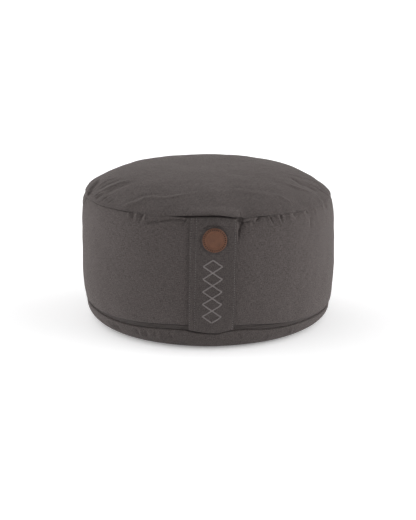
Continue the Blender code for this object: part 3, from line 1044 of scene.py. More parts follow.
@dataclass
class CushionBody:
    """Top, wall and base panels round the filling, as one closed padded piece."""

    columns: int = 420
    crowding: float = 0.50          # how much closer the columns are at the front
    rest_rings: int = 5
    rest_spacing: float = 0.7       # power of their spacing, even at 1
    base_rings: int = 9
    wall_rings: int = 34
    wall_spacing: float = 0.75      # how much closer they are at the seams, even at 0
    crown_rings: int = 44
    crown_spacing: float = 1.3      # power of their spacing, even at 1
    lip_roll: float = 0.0011
    foot_dip: float = 0.0019        # of the base panel's edge under the strap's foot
    foot_span: tuple[float, float] = (-10.0, 7.0)      # degrees
    strap_span: tuple[float, float] = (-12.2, 16.2)    # degrees where the strap covers the wall
    unevenness: float = 0.0008      # lumps of the filling
    lump_size: float = 0.045
    open_radius: float = 0.004      # left open in the middle until the cloth is smooth
    cloth_frames: int = 20
    cloth_quality: int = 5
    cloth_mass: float = 0.30
    cloth_pressure: float = 4.0
    cloth_tension: float = 20.0
    cloth_shear: float = 8.0
    cloth_bending: float = 0.15
    cloth_excess: float = 0.10      # share of extra cloth eased into the top seam
    eased_height: float = 0.152     # of the top seam, where there is most of it
    eased_wall: float = 0.030       # how far down the wall it reaches
    eased_crown: float = 0.060      # and in over the crown
    held_middle: float = 0.022      # of the crown, round which the cloth is held
    front_share: float = 0.20       # of the simulated gathers, on the wall's front half
    crown_share: float = 0.08       # and on the crown's
    front_edge: float = 88.0        # degrees either way where the front half ends
    front_fade: float = 40.0        # degrees in which all the gathers come in
    cloth_cap: float = 0.003        # most that a point moves
    rows: dict[str, int] = field(default_factory=dict)

    def build(self) -> bpy.types.Object:
        """Lay a sheet round the outline, close it, then work its creases in.

        Returns:
            The finished body.
        """
        turn = np.linspace(0.0, 2 * math.pi, self.columns + 1)
        azimuth = 180.0 + np.degrees(turn + self.crowding * np.sin(turn))
        radius, height = self.outline_rings(azimuth)
        piece = Bench.grid("cushion_cloth", self.columns, len(radius) - 1)
        flat = Bench.points(piece)
        column = np.rint((flat[:, 0] + 1) / 2 * self.columns).astype(int)
        ring = np.rint((flat[:, 1] + 1) / 2 * (len(radius) - 1)).astype(int)
        places = polar(azimuth[column], radius[ring, column], height[ring, column])
        run = self.run_up(radius, height)
        up, left = run[ring, column], run[-1, column] - run[ring, column]
        self.map_weave(piece, azimuth[column], ring, places, up, left)
        Bench.move(piece, places)
        Bench.note(piece, "station", ring)
        Bench.close(piece)
        self.settle(piece)
        Bench.smooth_out(piece)
        self.cap_ends(piece)
        self.crease(piece)
        Bench.shade(piece)
        return piece

    def settle(self, piece: bpy.types.Object) -> None:
        """Let the cloth swell and gather under the filling's pressure, between its seams.

        The simulated movement keeps its gathers and loses its average round each ring, so
        that the cushion keeps its measured outline, and no point moves further than the cap.

        Args:
            piece: The closed body before it is subdivided.
        """
        start, normals = Bench.points(piece), Bench.normals(piece)
        station = Bench.noted(piece, "station")
        ring = np.rint(station).astype(int)
        reach = np.hypot(start[:, 0], start[:, 1])
        sewn = piece.vertex_groups.new(name="sewn")
        held = (station <= self.rows["lip"] - 3) & (reach < OUTLINE.rest_radius + 0.005)
        held |= (station >= self.rows["lip"] - 1) & (station <= self.rows["wall"])
        held |= np.abs(station - self.rows["seam"] - 2) <= 1
        held |= (station > self.rows["crown"]) & (reach < self.held_middle)
        sewn.add(np.flatnonzero(held).tolist(), 1.0, "REPLACE")
        eased = piece.vertex_groups.new(name="eased_in")
        below = np.abs(start[:, 2] - self.eased_height) / self.eased_wall
        inward = (OUTLINE.radius - reach) / self.eased_crown
        away = np.where(station > self.rows["crown"], inward, below)
        amount = np.clip(1.0 - np.abs(away), 0.0, 1.0)
        for index in np.flatnonzero(amount > 0.02):
            eased.add([int(index)], float(amount[index]), "REPLACE")
        cloth = piece.modifiers.new("Cloth", "CLOTH")
        settings = cloth.settings
        settings.quality = self.cloth_quality
        settings.mass = self.cloth_mass
        settings.tension_stiffness = settings.compression_stiffness = self.cloth_tension
        settings.shear_stiffness = self.cloth_shear
        settings.bending_stiffness = self.cloth_bending
        settings.use_pressure = True
        settings.uniform_pressure_force = self.cloth_pressure
        settings.effector_weights.gravity = 0.0
        settings.vertex_group_mass = "sewn"
        settings.vertex_group_shrink = "eased_in"
        settings.shrink_min = 0.0
        settings.shrink_max = -self.cloth_excess
        cloth.collision_settings.use_collision = False
        cloth.point_cache.frame_end = self.cloth_frames
        for step in range(1, self.cloth_frames + 1):
            bpy.context.scene.frame_set(step)
        Bench.select(piece)
        bpy.ops.object.modifier_apply(modifier="Cloth")
        bpy.context.scene.frame_set(1)
        moved = Bench.points(piece) - start
        out = np.einsum("ij,ij->i", moved, normals)
        average = np.bincount(ring, out) / np.maximum(np.bincount(ring), 1)
        log.info("cloth moved %.1f mm at most", out.max() / MM)
        out = (out - average[ring]) * self.swelling(start)
        out = self.cloth_cap * np.tanh(out / self.cloth_cap)
        log.info("gathers from %.2f to %.2f mm", out.min() / MM, out.max() / MM)
        Bench.move(piece, start + normals * out[:, None])
        piece.vertex_groups.clear()

    def swelling(self, points: Array) -> Array:
        """How much of the simulated gathers stays, which is less on the front half.

        Args:
            points: Points on the cloth.

        Returns:
            Shares from 0 to 1.
        """
        azimuth = np.degrees(np.arctan2(points[:, 0], -points[:, 1]))
        front = np.where(points[:, 2] > 0.154, self.crown_share, self.front_share)
        return blend(front, 1.0, ease((np.abs(azimuth) - self.front_edge) / self.front_fade))

    def cap_ends(self, piece: bpy.types.Object) -> None:
        """Close the small rounds left open in the middle of the base and of the crown.

        Args:
            piece: The smooth body.
        """
        Bench.select(piece)
        bpy.ops.object.mode_set(mode="EDIT")
        bpy.ops.mesh.select_all(action="SELECT")
        bpy.ops.mesh.fill_holes(sides=0)
        bpy.ops.mesh.select_all(action="DESELECT")
        bpy.ops.mesh.select_face_by_sides(number=4, type="GREATER")
        bpy.ops.mesh.poke()
        bpy.ops.object.mode_set(mode="OBJECT")
        vertex = Bench.corner_vertices(piece)
        points = Bench.points(piece)
        held = Bench.read(piece.data.uv_layers["weave"].data, "uv", 2)
        inner = np.hypot(points[:, 0], points[:, 1]) < self.open_radius + 0.001
        Bench.set_uv(piece, np.where(inner[vertex][:, None], points[vertex, :2], held))

    def outline_rings(self, azimuth: Array) -> tuple[Array, Array]:
        """Radii and heights of every ring, from the middle of the rest flat to the crown's.

        Args:
            azimuth: Degrees of the columns.

        Returns:
            Two arrays, of rings by columns.
        """
        flat = np.zeros_like(azimuth)
        rest = OUTLINE.rest_edge(azimuth)
        lip = OUTLINE.around(azimuth, "lip_height")
        lip_low = lip - self.lip_dip(azimuth)
        flap = OUTLINE.flap_height(azimuth)
        seam_height = OUTLINE.around(azimuth, "seam_height")
        seam_radius = OUTLINE.around(azimuth, "seam_radius")
        depth, mouth = OUTLINE.seam(azimuth, "depth"), OUTLINE.seam(azimuth, "mouth")
        rings: list[tuple[Any, Any]] = []
        for step in range(self.rest_rings + 1):
            share = (step / self.rest_rings) ** self.rest_spacing
            rings.append((blend(self.open_radius, rest, share), flat))
        for step in range(1, self.base_rings + 1):
            angle = math.pi / 2 * step / self.base_rings
            out = math.sin(angle) ** (2 / OUTLINE.base_roundness)
            up = 1.0 - math.cos(angle) ** (2 / OUTLINE.base_roundness)
            level = (lip_low - self.lip_roll) * up
            rings.append((blend(rest, OUTLINE.lip_radius, out), level))
        self.rows["lip"] = len(rings)
        floor_radius = OUTLINE.lip_radius - OUTLINE.channel_depth
        flap_inside = OUTLINE.flap_radius - OUTLINE.flap_thickness
        roll = OUTLINE.flap_thickness / 2
        rings += [
            (OUTLINE.lip_radius - self.lip_roll * 0.3, lip_low - self.lip_roll * 0.3),
            (OUTLINE.lip_radius - self.lip_roll, lip_low),
            (floor_radius, lip_low + 0.0002),
            (floor_radius, lip + OUTLINE.channel_height),
            (flap_inside, lip + OUTLINE.channel_height),
            (flap_inside, flap + roll),
            (flap_inside + roll * 0.3, flap + roll * 0.3),
            (flap_inside + roll, flap),
            (flap_inside + roll * 1.7, flap + roll * 0.3),
        ]
        self.rows["wall"] = len(rings)
        low, high = flap + roll, seam_height - mouth
        for step in range(self.wall_rings + 1):
            even = step / self.wall_rings
            share = blend(even, 0.5 - 0.5 * math.cos(math.pi * even), self.wall_spacing)
            level = blend(low, high, share)
            drawn = OUTLINE.gather_depth(azimuth, high - level, 0.0)
            rings.append((OUTLINE.wall_radius(azimuth, level) - drawn, level))
        self.rows["seam"] = len(rings) - 1
        edge = seam_radius + OUTLINE.seam(azimuth, "overhang")
        rings += [
            (seam_radius - depth * 0.45, seam_height - mouth * 0.45),
            (seam_radius - depth, seam_height),
            (edge - depth * 0.45, seam_height + mouth * 0.45),
        ]
        self.rows["crown"] = len(rings)
        rings += self.crown_outline(azimuth, edge)
        radius = np.array([np.broadcast_to(ring[0], azimuth.shape) for ring in rings], float)
        return radius, np.array([np.broadcast_to(ring[1], azimuth.shape) for ring in rings])

    def lip_dip(self, azimuth: Array) -> Array:
        """How far the base panel's edge is pulled down under the strap's foot."""
        turned = (np.asarray(azimuth, float) + 180.0) % 360.0 - 180.0
        return self.foot_dip * within(turned, *self.foot_span, (4.0, 3.0))

    def crown_outline(self, azimuth: Array, edge: Array) -> list[tuple[Array, Array]]:
        """Rings over the top panel, evenly spaced along the cloth.

        Args:
            azimuth: Degrees of the columns.
            edge: The panel's outer radius at each column.

        Returns:
            Radii and heights of each ring, from the edge to the middle.
        """
        reach = np.sin(np.linspace(math.pi / 2, 0.0, 400))[:, None]
        fine = blend(self.open_radius, edge, reach)
        heights = OUTLINE.crown_at(azimuth, fine)
        run = np.hypot(np.diff(fine, axis=0), np.diff(heights, axis=0))
        run = np.vstack([np.zeros(len(azimuth)), np.cumsum(run, axis=0)])
        even = np.linspace(0.0, 1.0, self.crown_rings + 1) ** self.crown_spacing
        rings = []
        for share in even:
            radius = np.array([
                np.interp(share * run[-1, column], run[:, column], fine[:, column])
                for column in range(len(azimuth))
            ])
            level = OUTLINE.crown_at(azimuth, radius)
            drawn = OUTLINE.gather_depth(azimuth, 0.0, edge - radius)
            rings.append((np.maximum(radius - drawn, 0.0), level))
        return rings

    def run_up(self, radius: Array, height: Array) -> Array:
        """Distance along the cloth from the first ring to each ring, at each column."""
        steps = np.hypot(np.diff(radius, axis=0), np.diff(height, axis=0))
        return np.vstack([np.zeros(radius.shape[1]), np.cumsum(steps, axis=0)])

    def map_weave(
        self, piece: bpy.types.Object, azimuth: Array, ring: Array, places: Array, up: Array,
        left: Array,
    ) -> None:
        """Lay the weave map: the wall unrolled, the top and base spread out from the middle.

        Args:
            piece: The sheet.
            azimuth: Azimuth of each vertex, from 180 round to 540.
            ring: Ring of each vertex.
            places: Where each vertex goes.
            up: Distance of each vertex along the cloth from the first ring.
            left: Distance that is left from there to the last ring.
        """
        around = np.radians(azimuth - 180.0) * OUTLINE.radius
        unrolled = np.stack([around, up], axis=1)
        out = places[:, :2] / np.hypot(places[:, 0], places[:, 1])[:, None]
        run = np.where(ring > self.rows["seam"], left, up)
        spread = out * (run + self.open_radius)[:, None]
        vertex = Bench.corner_vertices(piece)
        first = np.repeat(ring[vertex].reshape(-1, 4).min(axis=1), 4)
        on_wall = (first >= self.rows["lip"]) & (first < self.rows["seam"] + 1)
        Bench.set_uv(piece, np.where(on_wall[:, None], unrolled[vertex], spread[vertex]))

    def crease(self, piece: bpy.types.Object) -> None:
        """Push the creases and the filling's lumps into the cloth.

        Args:
            piece: The smooth closed body.
        """
        points, normals = Bench.points(piece), Bench.normals(piece)
        station = Bench.noted(piece, "station")
        push = np.zeros(len(points))
        for crease in CREASES:
            share = self.panel_share(station, crease.panel)
            near = share > 0.0
            push[near] += share[near] * self.crease_height(crease, points[near], normals[near])
        lumps = np.array([
            noise.fractal(Vector(point / self.lump_size), 0.9, 2.0, 3) for point in points
        ])
        free = self.panel_share(station, Panel.TOP) + self.panel_share(station, Panel.WALL)
        push += self.unevenness * lumps * free
        push -= self.under_strap(points) * np.maximum(push, 0.0)
        Bench.move(piece, points + normals * push[:, None])

    def under_strap(self, points: Array) -> Array:
        """How much a point is behind the strap, where nothing may stand proud.

        Args:
            points: Points on the cloth.

        Returns:
            Shares from 0 to 1.
        """
        azimuth = np.degrees(np.arctan2(points[:, 0], -points[:, 1]))
        below = points[:, 2] < OUTLINE.around(azimuth, "seam_height")
        return below * within(azimuth, *self.strap_span, (3.0, 3.0))

    def panel_share(self, station: Array, panel: Panel) -> Array:
        """How much of a crease shows at each ring, fading out at the panel's seams.

        Args:
            station: Ring of each vertex.
            panel: Panel that the crease lies on.

        Returns:
            Shares from 0 to 1.
        """
        if panel is Panel.TOP:
            return ease((station - self.rows["crown"] + 0.5) / 1.5)
        if panel is Panel.WALL:
            low = ease((station - self.rows["wall"]) / 2.0)
            return low * ease((self.rows["seam"] + 0.5 - station) / 1.5)
        low = ease((station - self.rest_rings) / 2.0)
        return low * ease((self.rows["lip"] - station) / 2.0)

    def crease_height(self, crease: Crease, points: Array, normals: Array) -> Array:
        """Height of one crease at each point.

        Args:
            crease: The crease.
            points: Points on the cloth.
            normals: The cloth's normals there.

        Returns:
            Heights in metres, positive outwards.
        """
        line = self.crease_line(crease)
        margin = 4.5 * crease.width * MM
        near = (points > line.min(axis=0) - margin).all(axis=1)
        near &= (points < line.max(axis=0) + margin).all(axis=1)
        height = np.zeros(len(points))
        points, normals = points[near], normals[near]
        best = np.full(len(points), np.inf)
        side, along = np.zeros(len(points)), np.zeros(len(points))
        for index, (start, end) in enumerate(zip(line, line[1:])):
            run = end - start
            share = np.clip((points - start) @ run / (run @ run), 0.0, 1.0)
            gap = points - start - share[:, None] * run
            square = (gap ** 2).sum(axis=1)
            closer = square < best
            best = np.where(closer, square, best)
            turned = np.einsum("ij,ij->i", np.cross(normals, run / np.linalg.norm(run)), gap)
            side = np.where(closer, np.sign(turned), side)
            along = np.where(closer, (index + share) / (len(line) - 1), along)
        off = np.sqrt(best) / (crease.width * MM)
        ends = ease(along / crease.start) * ease((1.0 - along) / crease.end)
        dip = abs(crease.lean) * 0.55 * np.exp(-((off * side - 1.9 * np.sign(crease.lean)) ** 2))
        height[near] = crease.height * MM * (np.exp(-off ** 2) - dip) * ends
        return height

    def crease_line(self, crease: Crease) -> Array:
        """Points along a crease on the outline, rounded between its named ones.

        Args:
            crease: The crease.

        Returns:
            The points, from its start to its end.
        """
        azimuth, reach = np.array(crease.points, float).T
        named = np.arange(len(azimuth), dtype=float)
        fine = np.linspace(0.0, named[-1], 5 * (len(azimuth) - 1) + 1)
        azimuth = np.interp(fine, named, azimuth)
        reach = np.interp(fine, named, reach) * MM
        for _ in range(2):
            azimuth[1:-1] = (azimuth[:-2] + 2 * azimuth[1:-1] + azimuth[2:]) / 4
            reach[1:-1] = (reach[:-2] + 2 * reach[1:-1] + reach[2:]) / 4
        if crease.panel is Panel.TOP:
            return polar(azimuth, reach, OUTLINE.crown_at(azimuth, reach))
        if crease.panel is Panel.WALL:
            return polar(azimuth, OUTLINE.wall_radius(azimuth, reach), reach)
        share = 1.0 - reach / OUTLINE.around(azimuth, "lip_height")
        angle = np.arccos(np.clip(share, 0.0, 1.0) ** (OUTLINE.base_roundness / 2))
        out = np.sin(angle) ** (2 / OUTLINE.base_roundness)
        return polar(azimuth, blend(OUTLINE.rest_radius, OUTLINE.lip_radius, out), reach)

    def dress(self, piece: bpy.types.Object) -> None:
        """Give the body its cloth and its place."""
        Bench.hand_over(piece, ["cushion_body"], "canvas", CANVAS.material())


# Zip.

@dataclass
class ClosedZip:
    """Closed coil zip round the cushion, in the channel between wall and base panel."""

    meeting_azimuth: float = 2.0    # its two ends meet here, under the strap
    end_gap: float = 0.0020
    gap: float = 0.0003
    channel_radius: float = 0.1405
    tape_thickness: float = 0.0010
    tape_height: float = 0.0042
    coil_thickness: float = 0.0020
    coil_height: float = 0.0052
    tooth_pitch: float = 0.00145
    tooth_width: float = 0.00100
    tape_steps: int = 240

    def wrap(self, piece: bpy.types.Object, radius: float, rise: float, length: float) -> None:
        """Bend a straight strip round the channel.

        Args:
            piece: Strip along x from 0 to length, thick along y and high along z.
            radius: The ring's radius where the strip has y = 0.
            rise: Height above the base panel's edge where it has z = 0.
            length: The strip's length.
        """
        points = Bench.points(piece)
        margin = math.degrees(self.end_gap / 2 / radius)
        sweep = 360.0 - 2 * margin
        azimuth = self.meeting_azimuth + margin + sweep * points[:, 0] / length
        height = OUTLINE.around(azimuth, "lip_height") + rise + points[:, 2]
        Bench.move(piece, polar(azimuth, radius + points[:, 1], height))

    def build_tape(self, name: str, rise: float) -> bpy.types.Object:
        """One tape, from a flat sheet given its thickness.

        Args:
            name: Name of the piece.
            rise: Height of its lower edge above the base panel's edge.

        Returns:
            The tape.
        """
        radius = self.channel_radius + self.gap
        length = 2 * math.pi * radius
        piece = Bench.grid(name, self.tape_steps, 4)
        flat = Bench.points(piece)
        x = (flat[:, 0] + 1) / 2 * length
        z = (flat[:, 1] + 1) / 2 * self.tape_height
        Bench.move(piece, np.stack([x, np.zeros(len(x)), z], axis=1))
        Bench.set_uv(piece, np.stack([x, z], axis=1)[Bench.corner_vertices(piece)])
        Bench.apply(piece, "SOLIDIFY", thickness=self.tape_thickness, offset=0.0)
        Bench.apply(
            piece, "BEVEL", width=0.0002, segments=1, limit_method="ANGLE",
            angle_limit=math.radians(50),
        )
        self.wrap(piece, radius + self.tape_thickness / 2, rise, length)
        Bench.close(piece)
        Bench.shade(piece, Shading.BY_ANGLE)
        return piece

    def build_coil(self) -> bpy.types.Object:
        """Two rows of rounded turns that mesh along the middle.

        Returns:
            The coil.
        """
        radius = self.channel_radius + 2 * self.gap + self.tape_thickness
        length = 2 * math.pi * radius
        turns = int(length / self.tooth_pitch)
        pitch = length / turns
        reach = self.coil_height * 0.56
        rows = []
        for side, lift, start in ((1, 0.0, 0.0), (-1, self.coil_height - reach, 0.5)):
            bpy.ops.object.select_all(action="DESELECT")
            bpy.ops.mesh.primitive_cube_add(
                size=1.0,
                scale=(self.tooth_width, self.coil_thickness, reach),
                location=(
                    pitch * (start + 0.25), self.coil_thickness / 2, lift + reach / 2
                ),
            )
            turn = Bench.take("coil_turn")
            Bench.select(turn)
            bpy.ops.object.transform_apply(location=True, rotation=True, scale=True)
            Bench.apply(
                turn, "BEVEL", width=self.tooth_width * 0.36, segments=2, limit_method="NONE"
            )
            points = Bench.points(turn)
            head = (points[:, 2] - lift) / reach
            inner = head if side > 0 else 1.0 - head
            meshed = np.clip((inner - 0.55) / 0.45, 0.0, 1.0)
            points[:, 1] *= 1.0 - 0.35 * (1.0 - inner) ** 2 - 0.55 * meshed ** 2
            points[:, 0] += side * 0.00022 * (inner - 0.5)
            Bench.move(turn, points)
            Bench.apply(
                turn, "ARRAY", count=turns, use_relative_offset=False,
                use_constant_offset=True, constant_offset_displace=(pitch, 0.0, 0.0),
            )
            rows.append(turn)
        piece = Bench.join(rows, "zip_coil_turns")
        self.wrap(piece, radius, self.gap, length)
        Bench.close(piece)
        Bench.shade(piece)
        return piece

    def build(self) -> list[bpy.types.Object]:
        """Make both tapes and the coil.

        Returns:
            The lower tape, the upper tape and the coil.
        """
        upper = 2 * self.gap + self.tape_height
        return [
            self.build_tape("zip_weave_lower", self.gap),
            self.build_tape("zip_weave_upper", upper),
            self.build_coil(),
        ]

    def dress(self, pieces: list[bpy.types.Object]) -> None:
        """Give the zip its finishes and its place.

        Args:
            pieces: The lower tape, the upper tape and the coil.
        """
        lower, upper, coil = pieces
        tape = TapeFinish().material()
        Bench.hand_over(lower, ["zip_tape_lower"], "zip_tape", tape)
        Bench.hand_over(upper, ["zip_tape_upper"], "zip_tape", tape)
        Bench.hand_over(coil, ["zip_coil"], "zip_coil", CoilFinish().material())


# Stitches.

@dataclass(frozen=True)
class Stitch:
    """One visible stitch: a short rounded length of thread."""

    length: float
    width: float
    height: float

    def model(self) -> bpy.types.Object:
        """The stitch at the origin, along x, with its top towards +z.

        Returns:
            The model to copy.
        """
        bpy.ops.object.select_all(action="DESELECT")
        bpy.ops.mesh.primitive_uv_sphere_add(
            segments=8, ring_count=6, radius=0.5, rotation=(0.0, math.pi / 2, 0.0)
        )
        piece = Bench.take("stitch_model")
        Bench.select(piece)
        bpy.ops.object.transform_apply(location=True, rotation=True, scale=True)
        points = Bench.points(piece)
        fuller = np.sign(points[:, 0]) * (np.abs(points[:, 0]) * 2) ** 0.8 / 2
        points = np.stack([fuller, points[:, 1], points[:, 2]], axis=1)
        Bench.move(piece, points * (self.length, self.width, self.height))
        piece.data.uv_layers.remove(piece.data.uv_layers[0])
        Bench.shade(piece)
        return piece


def stitch_place(middle: Array, along: Array, outward: Array) -> Matrix:
    """Matrix that lays a stitch down.

    Args:
        middle: Where its middle goes.
        along: Direction it runs in.
        outward: Direction its top faces.

    Returns:
        The matrix.
    """
    x = Vector(along).normalized()
    y = Vector(outward).cross(x).normalized()
    place = Matrix((x, y, x.cross(y))).transposed().to_4x4()
    place.translation = Vector(middle)
    return place


# Carry strap.

@dataclass(frozen=True)
class StitchLine:
    """A row of stitches down the strap."""

    name: str
    across: float        # from the strap's left edge


@dataclass
class CarryStrap:
    """Doubled cloth band sewn into the top seam and across the zip."""

    top_left: float = -7.6          # degrees
    top_right: float = 12.5
    bottom_left: float = -8.6
    bottom_right: float = 11.3
    width: float = 0.0530
    thickness: float = 0.0016
    tuck: float = 0.0018            # its top end stops this far below the top seam
    foot_radius: float = 0.1440
    foot_edge: tuple[tuple[float, float], ...] = (   # azimuth, height above the base's edge
        (-9.1, 0.0019), (-6.2, 0.0007), (-2.3, -0.0002), (2.6, -0.0003), (4.5, -0.0007),
        (7.1, 0.0011), (9.3, 0.0019), (11.8, 0.0019),
    )
    length: float = 0.1320          # of the flat band
    clearance: float = 0.0004       # from the wall
    columns: int = 44
    rows: int = 96
    stitch_pitch: float = 0.0027
    stitch_dip: float = 0.00042     # that a row of stitches pulls
    hem_pad: float = 0.00030        # between the two left rows
    fold_height: float = 0.00200    # of the soft fold above the disc
    fold_depth: float = 0.00160     # and of the hollow below it
    disc_dent: float = 0.00045      # round the disc
    stitch_lines: tuple[StitchLine, ...] = (
        StitchLine("strap_stitches_edge", 0.0016),
        StitchLine("strap_stitches_hem", 0.0074),
        StitchLine("strap_stitches_right", 0.0510),
    )

    def azimuth(self, across: Array, down: Array) -> Array:
        """Azimuth of a place on the strap.

        Args:
            across: Metres from its left edge.
            down: Share from 0 at its top end to 1 at its bottom end.

        Returns:
            Degrees from the front.
        """
        left = blend(self.top_left, self.bottom_left, down)
        right = blend(self.top_right, self.bottom_right, down)
        return blend(left, right, across / self.width)

    def skeleton(self, azimuth: Array, down: Array) -> tuple[Array, Array]:
        """Radius and height of the wall under the strap.

        Args:
            azimuth: Degrees from the front.
            down: Share from 0 at its top end to 1 at its bottom end.

        Returns:
            Radii and heights.
        """
        top = OUTLINE.around(azimuth, "seam_height") - self.tuck
        flap = OUTLINE.flap_height(azimuth)
        edge_azimuth, edge = zip(*self.foot_edge)
        bottom = OUTLINE.around(azimuth, "lip_height") + np.interp(azimuth, edge_azimuth, edge)
        height = blend(top, bottom, down)
        wall = OUTLINE.wall_radius(azimuth, np.maximum(height, flap))
        foot = blend(OUTLINE.flap_radius, self.foot_radius, (flap - height) / (flap - bottom))
        return np.where(height >= flap, wall, foot), height

    def surface(self, across: Array, down: Array, lift: Array) -> tuple[Array, Array]:
        """Points above the wall and the strap's outward direction there.

        Args:
            across: Metres from its left edge.
            down: Share of its length.
            lift: Distance out from the wall.

        Returns:
            Points, and unit vectors square to the strap.
        """
        azimuth = self.azimuth(across, down)
        radius, height = self.skeleton(azimuth, down)
        step = 0.012
        above = self.skeleton(azimuth, np.clip(down - step, 0.0, 1.0))
        below = self.skeleton(azimuth, np.clip(down + step, 0.0, 1.0))
        out, drop = above[0] - below[0], above[1] - below[1]
        length = np.hypot(out, drop)
        normal_out, normal_up = drop / length, -out / length
        points = polar(azimuth, radius + lift * normal_out, height + lift * normal_up)
        normals = polar(azimuth, normal_out, normal_up)
        return points, normals

    def relief(self, across: Array, down: Array) -> Array:
        """Unevenness of the strap's face: stitched dips, padded hems and soft creases.

        Args:
            across: Metres from its left edge.
            down: Share of its length.

        Returns:
            Height above its plain face, in metres.
        """
        height = np.zeros(np.broadcast(across, down).shape)
        for line in self.stitch_lines:
            height -= self.stitch_dip * bell(across - line.across, 0.0006)
        height += self.hem_pad * bell(across - 0.0045, 0.0018)
        arc = 0.066 + 0.35 * ((across - 0.0255) / 0.054) ** 2
        inner = within(across, 0.012, 0.0420, (0.007, 0.007))
        height += inner * self.fold_height * bell(down - arc + 0.030, 0.019)
        height -= inner * self.fold_depth * bell(down - arc, 0.010)
        off_disc = np.hypot(across - 0.0270, (down - 0.1817) * 0.1330)
        height -= self.disc_dent * bell(off_disc - 0.0142, 0.0011)
        foot = ease((down - 0.88) / 0.08)
        height += foot * 0.00030 * np.sin(across * 2 * math.pi / 0.021 + 0.8)
        height += 0.00018 * np.sin(across * 170.0 + down * 9.0) * np.sin(down * 21.0 + 1.0)
        return height

    def face(self, across: Array, down: Array, above: float = 0.0) -> tuple[Array, Array]:
        """Points on the strap's face, or above it, and its outward direction."""
        lift = self.clearance + self.thickness + self.relief(across, down) + above
        return self.surface(across, down, lift)

    def build(self) -> bpy.types.Object:
        """The strap's two faces, closed round its folded edges.

        Returns:
            The strap.
        """
        piece = Bench.grid("strap_cloth", self.columns, self.rows)
        flat = Bench.points(piece)
        across = (flat[:, 0] + 1) / 2 * self.width
        down = 1.0 - (flat[:, 1] + 1) / 2
        uv = np.stack([across, (1.0 - down) * self.length], axis=1)
        Bench.set_uv(piece, uv[Bench.corner_vertices(piece)])
        half = self.clearance + self.thickness / 2
        middle, _ = self.surface(across, down, np.full(len(across), half))
        Bench.move(piece, middle)
        Bench.close(piece, 1e-6)
        Bench.note(piece, "across", across)
        Bench.note(piece, "down", down)
        Bench.apply(piece, "SOLIDIFY", thickness=self.thickness, offset=0.0)
        Bench.smooth_out(piece)
        self.press_face(piece)
        Bench.close(piece)
        Bench.shade(piece)
        return piece

    def press_face(self, piece: bpy.types.Object) -> None:
        """Work the stitched dips and creases into the outer face only.

        Args:
            piece: The smooth strap.
        """
        points, normals = Bench.points(piece), Bench.normals(piece)
        across, down = Bench.noted(piece, "across"), Bench.noted(piece, "down")
        _, outward = self.surface(across, down, np.zeros(len(points)))
        facing = ease(np.einsum("ij,ij->i", normals, outward))
        push = facing * self.relief(across, down)
        Bench.move(piece, points + outward * push[:, None])

    def build_stitches(self, line: StitchLine) -> bpy.types.Object:
        """One row of stitches, each in the dip that it pulls.

        Args:
            line: Where the row lies.

        Returns:
            The row as one piece.
        """
        rng = random.Random(line.name)
        stitch = Stitch(self.stitch_pitch * 0.62, 0.00078, 0.00060)
        first, last, sewn_length = 0.012, 0.984, 0.128
        down = np.linspace(first, last, int(sewn_length / self.stitch_pitch))
        wander = 0.00008
        across = line.across + np.array([rng.uniform(-wander, wander) for _ in down])
        run = self.face(across, down + 0.003)[0] - self.face(across, down - 0.003)[0]
        middle, outward = self.face(across, down, 0.00012)
        places = [stitch_place(*parts) for parts in zip(middle, run, outward)]
        return Bench.copies(stitch.model(), places, line.name)

    def dress(self, piece: bpy.types.Object, rows: list[bpy.types.Object]) -> None:
        """Give the strap and its stitches their finishes and their place.

        Args:
            piece: The strap.
            rows: Its rows of stitches.
        """
        Bench.hand_over(piece, ["carry_strap"], "strap_canvas", STRAP_CANVAS.material())
        thread = STRAP_THREAD.material()
        for row in rows:
            Bench.hand_over(row, [], "strap_canvas", thread)


@dataclass
class LozengeBand:
    """Chain of plain lozenges in satin stitch, up the strap below the disc."""

    strap: CarryStrap
    left: float = 0.0160            # from the strap's left edge
    right: float = 0.0372
    top: float = 0.0465             # metres down the strap
    bottom: float = 0.1185
    lozenges: int = 5
    stroke: float = 0.00175
    thread_pitch: float = 0.00042

    def build(self) -> bpy.types.Object:
        """Satin stitches laid across two zigzags that cross.

        Returns:
            The band as one piece.
        """
        stitch = Stitch(self.stroke, 0.00046, 0.00042)
        places = []
        middle = (self.left + self.right) / 2
        rise = (self.bottom - self.top) / self.lozenges / 2
        for side in (self.left, self.right):
            for half in range(self.lozenges * 2):
                start = middle if half % 2 == 0 else side
                end = side if half % 2 == 0 else middle
                begin = np.array([start, self.top + rise * half])
                finish = np.array([end, begin[1] + rise])
                places += self.stroke_places(begin, finish)
        return Bench.copies(stitch.model(), places, "lozenge_band")

    def stroke_places(self, begin: Array, finish: Array) -> list[Matrix]:
        """Where the threads of one straight stroke go.

        Args:
            begin: Its start, across and down in metres.
            finish: Its end.

        Returns:
            A matrix for each thread.
        """
        run = finish - begin
        count = max(2, round(float(np.hypot(*run)) / self.thread_pitch))
        slant = np.array([-run[1], run[0]]) / np.hypot(*run) * self.stroke / 2
        spots = begin + run * ((np.arange(count) + 0.5) / count)[:, None]
        along = self.on_strap(spots + slant, 0.0)[0] - self.on_strap(spots - slant, 0.0)[0]
        middle, outward = self.on_strap(spots, 0.00014)
        return [stitch_place(*parts) for parts in zip(middle, along, outward)]

    def on_strap(self, spots: Array, above: float) -> tuple[Array, Array]:
        """Points of the band on the strap's face, and the outward directions there."""
        return self.strap.face(spots[:, 0], spots[:, 1] / self.strap.length, above)

    def dress(self, piece: bpy.types.Object) -> None:
        """Give the band its thread and its place."""
        Bench.hand_over(piece, [], "strap_canvas", PALE_THREAD.material())


# Leather disc.

